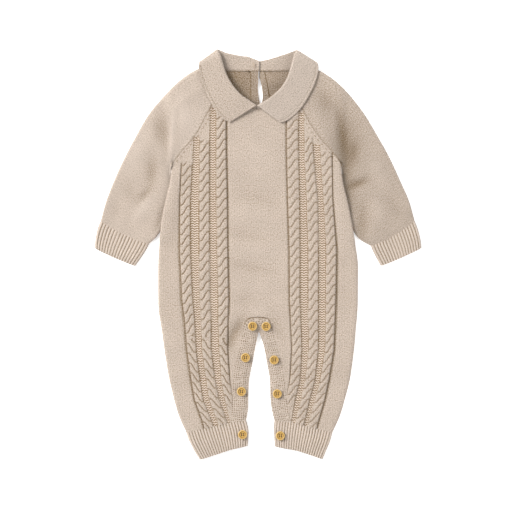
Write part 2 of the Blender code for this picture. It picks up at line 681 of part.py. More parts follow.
def sleeve_mouths(side: int) -> tuple[list[Vector], list[Vector]]:
    """Front and back mouth lines of a sleeve, from the neck fold to the armpit."""
    rows = SLEEVE_LEFT if side < 0 else SLEEVE_RIGHT
    front = FRONT_YOKE_LEFT if side < 0 else FRONT_YOKE_RIGHT
    back_lower = BACK_YOKE_LEFT if side < 0 else BACK_YOKE_RIGHT
    back_upper = BACK_NECK_LEFT if side < 0 else BACK_NECK_RIGHT
    fold = Vector((rows[-1].fold_x, rows[-1].fold_y))
    armpit = Vector((rows[-1].edge_x, rows[-1].edge_y))
    mouths = []
    for table in (front, [*back_lower, *back_upper]):
        seam = [Vector((row.side_x, row.side_y)) for row in reversed(table)]
        moved = offset_line(seam, side * SEAM_GAP)
        corner = moved[0] + (seam[0] - seam[1]).normalized() * MOUTH_CLEARANCE
        middle = fold.lerp(corner, 0.5) + Vector((-side * MOUTH_BEND, 0.0))
        mouths.append([fold, middle, corner, *moved[1:-1], armpit])
    return mouths[0], mouths[1]


def leg_cuff(name: str, rows: Sequence[CuffRow], finish: bpy.types.Material) -> bpy.types.Object:
    """Leg cuff folded round the side, open at the inner leg."""
    grid = []
    for row in rows:
        edge = Vector((row.edge_x, row.edge_y))
        knee = Vector((row.knee_x, row.knee_y))
        side = Vector((row.side_x, row.side_y))
        width = (knee - side).length
        layers = []
        for layer in (1, -1):
            line = []
            for place, depth, rise in row_places(width, BODY_FOLD_WIDTH, True, CUFF_COLUMNS):
                outer_plan = side.lerp(knee, place / width)
                inner_plan = side.lerp(knee, (depth + (RIB_CLOTH - CLOTH) * (1.0 - rise)) / width)
                high = BODY_HALF_HEIGHT + layer * BODY_HALF_HEIGHT * rise
                low = BODY_HALF_HEIGHT + layer * (BODY_HALF_HEIGHT - RIB_CLOTH) * rise
                line.append(Point(Vector((*outer_plan, high)), Vector((*inner_plan, low))))
            first = CUFF_END_COLUMNS[0]
            for share in CUFF_END_COLUMNS:
                plan = knee.lerp(edge, share)
                drop = PLACKET_DROP * smooth((share - first) / (1.0 - first)) if layer > 0 else 0.0
                high = BODY_HALF_HEIGHT * (1 + layer) - drop
                line.append(Point(Vector((*plan, high)), Vector((*plan, high - layer * RIB_CLOTH))))
            layers.append(line)
        front, back = layers
        grid.append([*reversed(front), *back[1:]])
    return cloth_piece(name, [grid], finish)


def slit_band(name: str, side: int, finish: bpy.types.Material) -> bpy.types.Object:
    """Band along one edge of the back neck slit, raised a little on the left at the neck."""
    grid = []
    for row in SLIT:
        outer_x = row.left_outer if side < 0 else row.right_outer
        edge_x = row.left_edge if side < 0 else row.right_edge
        foot_gap = SLIT_FOOT_GAP if row is SLIT[0] else 0.0
        start = Vector((outer_x - side * SLIT_GAP, row.outer_y + foot_gap))
        end = Vector((edge_x, row.edge_y))
        line = []
        for share in SLIT_COLUMNS:
            plan = start.lerp(end, share)
            base = NECK_LIFT * neck_share(plan.x, plan.y)
            if side < 0:
                base += SLIT_OVERLAP * smooth((plan.y - SLIT_OVERLAP_FOOT) / SLIT_OVERLAP_FADE)
            line.append(Point(Vector((*plan, base + CLOTH)), Vector((*plan, base))))
        grid.append(line)
    return cloth_piece(name, [grid], finish)


def collar_sections(rows: Sequence[CollarRow]) -> list[list[Vector]]:
    """Middle surface of a collar leaf: stand, roll and fall of every section."""
    sections = []
    for row in rows:
        seam = Vector((row.seam_x, row.seam_y, row.seam_z))
        roll = Vector((row.roll_x, row.roll_y, (row.stand_z + row.fall_z) / 2))
        outer = Vector((row.outer_x, row.outer_y, row.outer_z))
        down_stand = (seam.xy - roll.xy).normalized() * ROLL_REACH
        down_fall = (outer.xy - roll.xy).normalized() * ROLL_REACH
        stand_top = Vector((*(roll.xy + down_stand), row.stand_z))
        fall_top = Vector((*(roll.xy + down_fall), row.fall_z))
        roll.xy += (down_stand + down_fall) * ROLL_BULGE
        fall = [fall_top.lerp(outer, share) for share in FALL_COLUMNS]
        sections.append([seam, seam.lerp(stand_top, 0.5), stand_top, roll, fall_top, *fall, outer])
    return sections


def thicken(sections: Sequence[Sequence[Vector]], cloth: float, flip: float) -> list[list[Point]]:
    """Gives a middle surface its cloth, half of it on each side along the surface's normals."""
    grid = []
    for i, section in enumerate(sections):
        before = sections[max(i - 1, 0)]
        after = sections[min(i + 1, len(sections) - 1)]
        line = []
        for k, point in enumerate(section):
            across = section[min(k + 1, len(section) - 1)] - section[max(k - 1, 0)]
            normal = across.cross(after[k] - before[k]).normalized() * flip
            line.append(Point(point + normal * cloth / 2, point - normal * cloth / 2))
        grid.append(line)
    return grid


def collar_leaf(name: str, rows: Sequence[CollarRow], side: int,
                finish: bpy.types.Material) -> bpy.types.Object:
    """One leaf of the collar, from the centre front round the shoulder to the centre back."""
    sections = collar_sections(refine(rows, COLLAR_STEPS))
    return cloth_piece(name, [thicken(sections, CLOTH, side)], finish)


def button(name: str, centre: tuple[float, float], base: float, radius: float, height: float,
           finish: bpy.types.Material) -> bpy.types.Object:
    """Turned four-hole button with a raised rim, standing on its base height."""
    steps = BUTTON_STEPS
    mesh = bmesh.new()
    rings = []
    for reach, rise in BUTTON_PROFILE:
        ring = []
        for step in range(steps):
            turn = math.tau * step / steps
            place = Vector((math.cos(turn), math.sin(turn), 0.0)) * radius * reach
            ring.append(mesh.verts.new((place + Vector((0, 0, height * rise))) * MM))
        rings.append(ring)
    mesh.faces.new(reversed(rings[0]))
    for lower, upper in zip(rings, rings[1:]):
        for k in range(steps):
            after = (k + 1) % steps
            mesh.faces.new((lower[k], lower[after], upper[after], upper[k]))
    mesh.faces.new(rings[-1])
    item = finish_object(name, mesh, finish)
    item.location = (Vector((*centre, base)) + ORIGIN_SHIFT) * MM
    cutter = hole_cutter(name + "_holes", item.location, radius / BUTTON_RADIUS, height)
    drill = item.modifiers.new("holes", "BOOLEAN")
    drill.operation = "DIFFERENCE"
    drill.object = cutter
    return item


def hole_cutter(name: str, place: Vector, scale: float, height: float) -> bpy.types.Object:
    """Four thread holes as a hidden cutter."""
    mesh = bmesh.new()
    for quarter in range(BUTTON_HOLES):
        turn = math.tau * (quarter + 0.5) / BUTTON_HOLES
        offset = Vector((math.cos(turn), math.sin(turn), 0.0)) * BUTTON_HOLE_OFFSET * scale * MM
        made = bmesh.ops.create_cone(mesh, cap_ends=True, segments=BUTTON_HOLE_STEPS,
                                     depth=BUTTON_HOLE_DEPTH * height * MM,
                                     radius1=BUTTON_HOLE_RADIUS * scale * MM,
                                     radius2=BUTTON_HOLE_RADIUS * scale * MM)
        bmesh.ops.translate(mesh, verts=made["verts"], vec=offset)
    data = bpy.data.meshes.new(name)
    mesh.to_mesh(data)
    mesh.free()
    item = bpy.data.objects.new(name, data)
    bpy.context.scene.collection.objects.link(item)
    item.location = place
    item.hide_render = True
    item.display_type = "WIRE"
    return item


def main() -> None:
    """Builds the romper piece by piece."""
    clear_scene()
    knit = make_finish("knit_oatmeal", KNIT_COLOUR, KNIT_ROUGHNESS)
    rib = make_finish("knit_rib", RIB_COLOUR, KNIT_ROUGHNESS)
    wood = make_finish("button_wood", WOOD_COLOUR, WOOD_ROUGHNESS)

    body_panel("front_panel", 1, ((LEG_LEFT, TRUNK_LEFT, FRONT_YOKE_LEFT),
                                  (LEG_RIGHT, TRUNK_RIGHT, FRONT_YOKE_RIGHT)), knit)
    body_panel("back_panel", -1, ((LEG_LEFT, TRUNK_LEFT, [*BACK_YOKE_LEFT, *BACK_NECK_LEFT]),
                                  (LEG_RIGHT, TRUNK_RIGHT, [*BACK_YOKE_RIGHT, *BACK_NECK_RIGHT])),
               knit)
    placket("front_placket", 1, knit)
    placket("back_placket", -1, knit)
    for word, side, sleeve, sleeve_cuff, cuff, leaf in (
            ("left", -1, SLEEVE_LEFT, SLEEVE_CUFF_LEFT, LEG_CUFF_LEFT, COLLAR_LEFT),
            ("right", 1, SLEEVE_RIGHT, SLEEVE_CUFF_RIGHT, LEG_CUFF_RIGHT, COLLAR_RIGHT)):
        mouths = sleeve_mouths(side)
        sleeve_tube("sleeve_" + word, sleeve, mouths, side, sleeve_levels, CLOTH, knit)
        sleeve_tube("sleeve_cuff_" + word, sleeve_cuff, mouths, side, cuff_levels, RIB_CLOTH, rib)
        leg_cuff("leg_cuff_" + word, cuff, rib)
        collar_leaf("collar_" + word, leaf, side, knit)
        slit_band("slit_band_" + word, side, knit)
    for name, centre in BUTTON_CENTRES.items():
        button(name, centre, BUTTON_BASE, BUTTON_RADIUS, BUTTON_HEIGHT, wood)
    button("neck_button", NECK_BUTTON_CENTRE, NECK_BUTTON_BASE, NECK_BUTTON_RADIUS, NECK_BUTTON_HEIGHT, wood)


main()
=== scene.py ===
"""Looks of the knitted baby romper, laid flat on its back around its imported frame.

Every cloth piece is a thin shell grown from a grid: its plan comes from short tables of
rows, its height from how the layers lie on each other, and its relief from the cables,
ribs and creases. Lengths in tables and fields are millimetres unless a name says metres.
"""
from __future__ import annotations

import logging
import math
from dataclasses import dataclass, field
from enum import Enum
from typing import Sequence

import bmesh
import bpy
import numpy as np
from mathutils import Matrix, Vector

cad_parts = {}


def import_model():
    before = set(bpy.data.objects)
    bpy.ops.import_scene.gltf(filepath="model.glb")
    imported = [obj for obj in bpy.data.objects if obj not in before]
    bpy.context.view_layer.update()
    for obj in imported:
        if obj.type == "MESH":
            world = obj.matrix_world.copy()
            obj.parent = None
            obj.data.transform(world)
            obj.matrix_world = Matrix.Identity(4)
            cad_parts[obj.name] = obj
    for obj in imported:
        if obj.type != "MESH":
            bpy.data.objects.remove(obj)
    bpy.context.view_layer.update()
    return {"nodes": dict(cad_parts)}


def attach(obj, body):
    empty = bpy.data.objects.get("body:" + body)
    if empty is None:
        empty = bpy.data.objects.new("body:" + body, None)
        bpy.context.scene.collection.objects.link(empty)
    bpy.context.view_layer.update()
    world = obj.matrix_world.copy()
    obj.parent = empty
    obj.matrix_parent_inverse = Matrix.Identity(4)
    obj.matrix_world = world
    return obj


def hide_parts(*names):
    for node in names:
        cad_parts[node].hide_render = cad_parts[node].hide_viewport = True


LOG = logging.getLogger("romper")
MM = 0.001
PER_METRE = 1000.0
ORIGIN_SHIFT_Y = 1.55
WELD = 1e-6
TABLE_STEPS = 24
Array = np.ndarray


class Side(Enum):
    """Which half of the garment a piece belongs to, with the sign of its X."""

    LEFT = -1
    RIGHT = 1

    @property
    def word(self) -> str:
        """Lower-case word used in piece names."""
        return self.name.lower()


class Layer(Enum):
    """Front or back cloth of a folded tube, with the sign of its height."""

    FRONT = 1
    BACK = -1


# Rows of a leg: side fold x, y; placket seam x, y; inner leg edge x, y.
LEGS = {
    Side.LEFT: (
        (-93.5, -231.5, -35.5, -218.5, -15.5, -216.0),
        (-103.0, -210.0, -34.6, -203.0, -13.2, -202.0),
        (-110.0, -186.0, -33.6, -184.0, -12.6, -184.0),
        (-115.5, -163.0, -32.5, -163.0, -11.5, -163.0),
        (-119.5, -140.0, -29.0, -140.0, -7.2, -140.0),
        (-122.8, -118.0, -23.5, -118.5, -3.2, -119.0),
        (-125.6, -98.0, -20.5, -100.0, -0.8, -108.0),
        (-127.6, -85.0, -17.0, -88.0, 0.1, -103.0),
        (-129.0, -76.0, -12.0, -82.5, 0.6, -101.6),
        (-129.9, -66.0, 0.0, -80.8, 1.0, -101.0),
    ),
    Side.RIGHT: (
        (97.0, -231.5, 43.3, -218.0, 21.5, -216.0),
        (106.5, -210.0, 39.5, -203.0, 18.0, -202.0),
        (113.7, -186.0, 37.2, -186.0, 16.0, -186.0),
        (119.5, -163.0, 34.5, -163.0, 15.5, -163.0),
        (123.0, -140.0, 30.5, -140.0, 11.5, -140.0),
        (125.6, -118.0, 24.5, -118.5, 7.5, -119.0),
        (127.3, -98.0, 19.5, -100.0, 4.0, -108.0),
        (128.5, -85.0, 16.5, -88.0, 2.4, -103.0),
        (129.2, -76.0, 12.0, -82.5, 1.5, -101.6),
        (129.8, -66.0, 0.0, -80.8, 1.0, -101.0),
    ),
}
# Rows of the trunk: side fold x, y; centre x, y; sag of the row's middle.
TRUNKS = {
    Side.LEFT: (
        (-129.9, -66.0, 0.0, -80.8, 0.0),
        (-130.1, -40.0, 0.0, -48.0, 0.0),
        (-130.0, -12.0, 0.0, -16.0, 0.0),
        (-128.6, 12.0, 0.0, 14.0, 0.0),
        (-126.8, 32.0, 0.0, 40.0, 0.0),
        (-124.0, 52.0, 0.0, 60.0, 0.0),
        (-119.8, 71.0, 0.0, 77.0, 0.0),
        (-115.6, 88.0, 0.0, 92.0, 0.0),
        (-113.3, 103.0, 0.0, 105.0, 0.0),
        (-113.0, 117.0, 0.0, 116.0, 0.0),
    ),
    Side.RIGHT: (
        (129.8, -66.0, 0.0, -80.8, 0.0),
        (130.1, -40.0, 0.0, -48.0, 0.0),
        (130.0, -12.0, 0.0, -16.0, 0.0),
        (126.8, 12.0, 0.0, 14.0, 0.0),
        (123.6, 32.0, 0.0, 40.0, 0.0),
        (119.9, 52.0, 0.0, 60.0, 0.0),
        (116.0, 71.0, 0.0, 77.0, 0.0),
        (111.6, 88.0, 0.0, 92.0, 0.0),
        (109.2, 103.0, 0.0, 105.0, 0.0),
        (108.5, 117.0, 0.0, 116.0, 0.0),
    ),
}
# Rows of the front above the armpit: raglan seam x, y; centre x, y; sag.
FRONT_YOKES = {
    Side.LEFT: (
        (-113.0, 117.0, 0.0, 116.0, 0.0),
        (-107.0, 124.5, 0.0, 124.0, 0.0),
        (-98.0, 136.0, 0.0, 136.0, 0.5),
        (-88.0, 147.5, 0.0, 147.0, 1.0),
        (-77.0, 163.0, 0.0, 158.0, 2.0),
        (-69.0, 179.0, 0.0, 168.0, 3.5),
        (-61.5, 193.0, 0.0, 176.0, 5.5),
        (-53.5, 207.5, 0.0, 182.0, 7.5),
        (-44.0, 224.0, 0.0, 188.4, 9.0),
    ),
    Side.RIGHT: (
        (108.5, 117.0, 0.0, 116.0, 0.0),
        (103.0, 125.5, 0.0, 124.0, 0.0),
        (93.5, 137.0, 0.0, 136.0, 0.5),
        (84.0, 147.5, 0.0, 147.0, 1.0),
        (73.0, 162.5, 0.0, 158.0, 2.0),
        (65.0, 175.5, 0.0, 168.0, 3.5),
        (57.5, 190.0, 0.0, 176.0, 5.5),
        (51.0, 204.5, 0.0, 182.0, 7.5),
        (44.0, 222.0, 0.0, 188.4, 9.0),
    ),
}
# Rows of the back above the armpit, then beside the neck slit.
BACK_YOKES = {
    Side.LEFT: (
        (-113.0, 117.0, 0.0, 116.0, 0.0),
        (-104.0, 131.0, 0.0, 128.0, 0.0),
        (-94.0, 147.0, 0.0, 142.0, 0.0),
        (-86.0, 160.0, 0.0, 154.0, 0.0),
        (-80.0, 170.0, 0.0, 163.5, 0.0),
    ),
    Side.RIGHT: (
        (108.5, 117.0, 0.0, 116.0, 0.0),
        (99.5, 131.0, 0.0, 128.0, 0.0),
        (90.0, 147.0, 0.0, 142.0, 0.0),
        (82.5, 160.0, 0.0, 154.0, 0.0),
        (77.0, 170.0, 0.0, 163.5, 0.0),
    ),
}
BACK_NECKS = {
    Side.LEFT: (
        (-76.0, 177.0, -10.0, 167.0, 0.0),
        (-69.0, 190.0, -10.3, 180.0, 0.0),
        (-61.0, 204.0, -10.3, 195.5, 0.0),
        (-56.5, 213.0, -10.3, 205.0, 0.0),
        (-51.0, 223.5, -10.2, 216.5, 0.0),
        (-47.0, 231.0, -10.0, 227.0, 0.0),
        (-43.4, 238.4, -10.0, 237.7, 0.0),
    ),
    Side.RIGHT: (
        (73.5, 176.5, 10.5, 167.0, 0.0),
        (67.0, 189.0, 14.0, 180.0, 0.0),
        (59.5, 203.0, 15.8, 195.5, 0.0),
        (55.0, 212.0, 15.5, 205.0, 0.0),
        (49.5, 223.0, 13.6, 216.5, 0.0),
        (45.5, 231.0, 11.4, 227.0, 0.0),
        (42.0, 238.4, 8.8, 237.7, 0.0),
    ),
}
# Bands of the neck slit: outer y, edge y, outer x, edge x.
SLIT_BANDS = {
    Side.LEFT: (
        (167.0, 164.2, -10.0, -0.1),
        (180.0, 180.0, -10.3, 1.4),
        (195.5, 195.5, -10.3, 2.4),
        (205.0, 205.0, -10.3, 0.9),
        (216.5, 216.5, -10.2, 0.0),
        (227.0, 227.0, -10.0, 0.4),
        (237.9, 237.9, -10.0, 0.5),
    ),
    Side.RIGHT: (
        (167.0, 164.2, 10.5, 0.6),
        (180.0, 180.0, 14.0, 2.9),
        (195.5, 195.5, 15.8, 4.6),
        (205.0, 205.0, 15.5, 6.0),
        (216.5, 216.5, 13.6, 5.1),
        (227.0, 227.0, 11.4, 2.9),
        (237.9, 237.9, 8.8, 1.7),
    ),
}
# Rows of a sleeve: outer fold x, y; inner fold x, y; bow of the row; share of the mouth's shape.
SLEEVES = {
    Side.LEFT: (
        (-205.0, 43.5, -142.0, 13.5, 3.0, 0.0),
        (-197.5, 70.0, -130.5, 25.0, 3.0, 0.0),
        (-187.5, 96.0, -121.5, 42.0, 2.0, 0.05),
        (-174.0, 125.5, -116.0, 62.0, 1.0, 0.15),
        (-159.0, 154.0, -112.0, 80.0, 0.0, 0.28),
        (-143.0, 181.5, -112.6, 94.0, 0.0, 0.42),
        (-125.0, 203.5, -113.9, 104.0, 0.0, 0.58),
        (-106.0, 223.0, -113.9, 111.0, 0.5, 0.72),
        (-88.5, 236.0, -113.9, 114.6, 1.0, 0.84),
        (-70.0, 244.5, -113.8, 116.1, 1.5, 0.93),
        (-50.5, 249.0, -113.5, 116.9, 0.0, 1.0),
    ),
    Side.RIGHT: (
        (204.0, 43.5, 147.0, 11.0, 3.0, 0.0),
        (196.5, 70.0, 130.5, 21.5, 3.0, 0.0),
        (185.5, 95.0, 118.5, 42.0, 2.0, 0.05),
        (171.5, 125.5, 112.5, 62.0, 1.0, 0.15),
        (156.5, 152.5, 108.0, 80.0, 0.0, 0.28),
        (139.5, 181.0, 108.6, 94.0, 0.0, 0.42),
        (121.5, 205.0, 109.8, 104.0, 0.0, 0.58),
        (103.0, 224.0, 109.5, 111.0, 0.5, 0.72),
        (86.0, 236.0, 109.4, 114.6, 1.0, 0.84),
        (69.0, 243.5, 109.3, 116.1, 1.5, 0.93),
        (50.0, 248.0, 109.0, 116.9, 0.0, 1.0),
    ),
}
SLEEVE_CUFFS = {
    Side.LEFT: (
        (-205.0, 43.6, -141.9, 13.6, 3.0, 0.0),
        (-208.6, 34.0, -145.4, 6.5, 2.8, 0.0),
        (-211.6, 20.0, -153.5, -6.0, 2.0, 0.0),
        (-212.6, 8.0, -160.0, -15.0, 1.0, 0.0),
    ),
    Side.RIGHT: (
        (204.0, 43.6, 146.9, 11.1, 3.0, 0.0),
        (207.8, 34.0, 149.2, 5.0, 2.8, 0.0),
        (211.2, 21.0, 155.0, -6.0, 2.0, 0.0),
        (212.8, 8.5, 160.0, -15.0, 1.0, 0.0),
    ),
}
# Rounds of a leg cuff: inner end x, y; band seam x, y; side fold x, y.
LEG_CUFFS = {
    Side.LEFT: (
        (-15.5, -216.0, -35.5, -218.5, -93.4, -231.6),
        (-12.6, -228.0, -35.6, -232.0, -89.2, -243.5),
        (-12.6, -240.0, -36.0, -245.0, -81.5, -258.0),
        (-13.5, -249.0, -36.5, -254.5, -75.6, -267.3),
    ),
    Side.RIGHT: (
        (21.5, -216.0, 43.3, -218.0, 96.9, -231.6),
        (20.6, -228.0, 45.5, -231.5, 93.6, -243.5),
        (21.3, -240.0, 49.5, -244.5, 88.0, -257.0),
        (22.0, -250.0, 52.0, -255.5, 84.0, -266.5),
    ),
}
# Sections of a collar leaf: seam x, y, z; roll x, y; stand z; fall z; outer edge x, y, z.
COLLARS = {
    Side.LEFT: (
        (-1.8, 188.6, 5.8, -1.9, 193.6, 8.2, 10.8, -36.5, 172.0, 8.0),
        (-13.5, 191.8, 5.8, -10.5, 199.6, 8.8, 11.8, -44.5, 176.0, 8.0),
        (-26.0, 201.5, 5.8, -21.5, 207.0, 9.2, 12.3, -53.0, 184.0, 8.0),
        (-36.5, 213.5, 5.8, -31.0, 217.5, 9.2, 12.3, -60.5, 197.0, 8.0),
        (-41.8, 222.5, 5.8, -37.5, 227.5, 9.0, 12.1, -67.5, 211.0, 8.0),
        (-43.6, 232.0, 5.8, -43.0, 238.5, 8.6, 11.6, -73.0, 225.0, 8.1),
        (-46.2, 242.0, 5.8, -47.2, 250.5, 8.0, 10.8, -76.2, 237.0, 8.2),
        (-49.0, 248.5, 5.4, -50.0, 259.0, 6.4, 9.2, -77.0, 243.0, 7.8),
        (-49.8, 251.3, 4.6, -53.0, 264.4, 4.7, 5.0, -75.5, 248.2, 4.6),
        (-46.0, 245.8, 3.4, -47.5, 262.8, 3.6, 1.4, -72.5, 246.0, 1.3),
        (-42.0, 239.6, 3.2, -43.0, 260.8, 3.2, 1.1, -62.0, 240.0, 1.1),
        (-31.0, 238.5, 3.2, -31.0, 258.0, 3.2, 1.0, -41.0, 232.5, 1.0),
        (-20.0, 238.3, 3.4, -20.0, 256.0, 3.5, 1.0, -22.0, 230.0, 1.0),
        (-12.5, 238.3, 4.6, -12.5, 255.0, 5.15, 1.0, -13.0, 229.5, 1.0),
        (1.2, 238.3, 5.0, 1.4, 249.6, 5.3, 1.0, -0.6, 229.0, 1.0),
    ),
    Side.RIGHT: (
        (-1.2, 188.6, 5.8, -1.1, 193.4, 8.2, 10.8, 28.5, 171.5, 8.0),
        (11.0, 190.5, 5.8, 7.0, 198.2, 8.8, 11.8, 38.0, 174.5, 8.0),
        (23.5, 199.0, 5.8, 17.0, 204.8, 9.2, 12.3, 48.0, 182.5, 8.0),
        (34.5, 211.0, 5.8, 28.5, 215.2, 9.2, 12.3, 58.5, 194.5, 8.0),
        (41.5, 221.5, 5.8, 36.0, 226.0, 9.0, 12.1, 67.0, 209.0, 8.0),
        (43.4, 232.0, 5.8, 41.2, 238.0, 8.6, 11.6, 74.0, 224.0, 8.1),
        (46.0, 242.0, 5.8, 45.2, 250.0, 8.0, 10.8, 77.4, 235.5, 8.2),
        (48.6, 247.6, 5.4, 47.5, 258.0, 6.4, 9.2, 78.2, 241.5, 7.8),
        (49.4, 250.4, 4.6, 50.5, 263.6, 4.7, 5.0, 76.6, 247.0, 4.6),
        (45.5, 245.4, 3.4, 45.5, 262.0, 3.6, 1.4, 73.0, 245.4, 1.3),
        (41.0, 239.6, 3.2, 41.0, 260.5, 3.2, 1.1, 62.0, 239.6, 1.1),
        (30.0, 238.5, 3.2, 30.0, 256.8, 3.2, 1.0, 41.0, 232.5, 1.0),
        (20.0, 238.3, 3.2, 20.0, 253.6, 3.2, 1.0, 22.0, 230.0, 1.0),
        (10.0, 238.3, 3.2, 10.0, 251.0, 3.2, 1.0, 10.5, 229.5, 1.0),
        (1.6, 238.3, 3.2, 1.6, 249.2, 3.2, 1.0, 1.6, 229.0, 1.0),
    ),
}
# Cable group borders at one height: y, then from the outer groove to the inner groove.
CABLE_BORDERS = {
    Side.LEFT: (
        (195.0, -98.0, -84.0, -76.0, -63.0, -54.5, -41.0),
        (136.0, -98.5, -84.5, -76.0, -63.0, -54.5, -41.0),
        (71.0, -101.5, -88.0, -76.5, -63.0, -54.5, -39.5),
        (6.0, -102.0, -88.0, -76.5, -63.0, -53.5, -39.0),
        (-59.0, -99.0, -85.0, -75.5, -62.5, -52.0, -37.5),
        (-85.0, -95.5, -82.5, -74.0, -61.0, -52.0, -38.5),
        (-124.0, -92.5, -80.5, -73.0, -61.0, -50.5, -39.0),
        (-163.0, -87.0, -75.5, -67.5, -56.0, -48.0, -36.5),
        (-189.0, -82.5, -71.5, -63.5, -50.5, -43.0, -32.5),
        (-215.0, -73.0, -61.0, -53.5, -41.5, -36.5, -29.0),
        (-233.0, -68.0, -55.5, -48.5, -37.0, -32.0, -24.0),
    ),
    Side.RIGHT: (
        (195.0, 96.0, 80.5, 71.5, 60.0, 52.5, 37.0),
        (136.0, 96.5, 80.5, 71.5, 60.0, 52.5, 37.0),
        (71.0, 97.5, 85.0, 77.5, 63.0, 54.0, 38.5),
        (6.0, 102.5, 88.5, 78.5, 65.0, 54.5, 40.5),
        (-59.0, 101.5, 88.0, 78.5, 65.0, 54.5, 41.0),
        (-124.0, 99.0, 87.0, 78.5, 65.5, 57.0, 44.0),
        (-163.0, 92.5, 80.5, 74.0, 61.0, 54.5, 41.5),
        (-189.0, 87.0, 74.0, 67.0, 56.0, 48.0, 36.5),
        (-215.0, 79.5, 66.5, 61.0, 49.0, 43.0, 35.0),
        (-233.0, 75.0, 61.0, 56.0, 44.0, 38.5, 31.0),
    ),
}
# Height where each strip of the cable group begins, from the outer strip to the inner one.
CABLE_TOPS = {Side.LEFT: (122.0, 155.0, 151.0, 194.0, 200.0), Side.RIGHT: (136.0, 146.0, 155.0, 188.0, 200.0)}


@dataclass(frozen=True)
class Cut:
    """Flat width and length of a cloth piece in metres, and its area in square metres."""

    width: float
    length: float
    area: float


CUTS = {
    "front": Cut(0.131, 0.456, 0.046),
    "back": Cut(0.131, 0.47, 0.047),
    "sleeve": Cut(0.215, 0.255, 0.0325),
    "sleeve cuff": Cut(0.138, 0.036, 0.0044),
    "leg cuff": Cut(0.155, 0.038, 0.0055),
    "collar leaf": Cut(0.17, 0.05, 0.0064),
    "slit band": Cut(0.011, 0.073, 0.00078),
    "placket": Cut(0.021, 0.29, 0.0055),
}
BUTTONS = {
    "button_left_1": (-7.0, -93.2),
    "button_left_2": (-16.2, -134.0),
    "button_left_3": (-21.5, -178.0),
    "button_left_4": (-20.0, -234.0),
    "button_right_1": (10.5, -93.5),
    "button_right_2": (21.0, -137.0),
    "button_right_3": (25.0, -181.0),
    "button_right_4": (29.0, -235.5),
}


def ease(value: Array | float) -> Array:
    """Eases 0 to 1 with flat ends, and holds still outside."""
    held = np.clip(value, 0.0, 1.0)
    return held * held * (3.0 - 2.0 * held)


def wave(phase: Array) -> Array:
    """Rounded lobe: 0 at whole numbers and 1 halfway between them."""
    return np.abs(np.sin(np.pi * phase))


def bell(distance: Array, width: float | Array) -> Array:
    """Rounded bump: 1 at no distance, and nearly 0 past twice its width."""
    return np.exp(-((distance / width) ** 2))


def lengths_along(x: Array, y: Array, axis: int) -> Array:
    """Length walked over the plan from the first point of each row or column.

    Args:
        x: Plan x of a grid.
        y: Plan y of a grid.
        axis: Axis of the arrays to walk along.

    Returns:
        Length at each point.
    """
    first_x = np.take(x, [0], axis=axis)
    first_y = np.take(y, [0], axis=axis)
    steps = np.hypot(np.diff(x, axis=axis, prepend=first_x), np.diff(y, axis=axis, prepend=first_y))
    return np.cumsum(steps, axis=axis)


def smooth_table(rows: Sequence[Sequence[float]], steps: int = TABLE_STEPS) -> Array:
    """Adds rows along a Catmull-Rom curve through every column of a table.

    Args:
        rows: The table's rows.
        steps: How many steps each interval is cut into.

    Returns:
        The finer table as an array.
    """
    table = np.asarray(rows, dtype=float)
    padded = np.vstack([2 * table[0] - table[1], table, 2 * table[-1] - table[-2]])
    share = np.linspace(0.0, 1.0, steps, endpoint=False)[:, None]
    parts = []
    for index in range(len(table) - 1):
        a, b, c, d = padded[index:index + 4]
        curve = 2 * b + (c - a) * share + (2 * a - 5 * b + 4 * c - d) * share**2
        parts.append(0.5 * (curve + (3 * b - a - 3 * c + d) * share**3))
    return np.vstack([*parts, table[-1:]])


def even_rows(table: Array, columns: Sequence[int], count: int) -> Array:
    """Reads a fine table again at even steps of the length along some of its columns.

    Args:
        table: Fine table.
        columns: Columns whose movement counts as length.
        count: Number of rows wanted.

    Returns:
        Table of that many rows.
    """
    steps = np.abs(np.diff(table[:, list(columns)], axis=0)).sum(axis=1) + 1e-9
    length = np.concatenate([[0.0], np.cumsum(steps)])
    wanted = np.linspace(0.0, length[-1], count)
    return np.stack([np.interp(wanted, length, table[:, k]) for k in range(table.shape[1])], axis=1)


def table_at(rows: Sequence[Sequence[float]], y: Array, column: int) -> Array:
    """Value of one column of a table whose first column is y, at given heights."""
    table = np.asarray(sorted(rows), dtype=float)
    return np.interp(y, table[:, 0], table[:, column])


def as_object(mesh: bmesh.types.BMesh, name: str) -> bpy.types.Object:
    """Moves a bmesh into a new object.

    Args:
        mesh: The bmesh, which is freed.
        name: Name of the object and its mesh.

    Returns:
        The object, linked to the scene.
    """
    data = bpy.data.meshes.new(name)
    mesh.to_mesh(data)
    mesh.free()
    item = bpy.data.objects.new(name, data)
    bpy.context.scene.collection.objects.link(item)
    return item


@dataclass(frozen=True)
class Fade:
    """Eased change from 0 at a start to 1 once a run past it; a negative run goes the other way."""

    start: float
    run: float

    def at(self, value: Array) -> Array:
        """Share at each value."""
        return ease((value - self.start) / self.run)


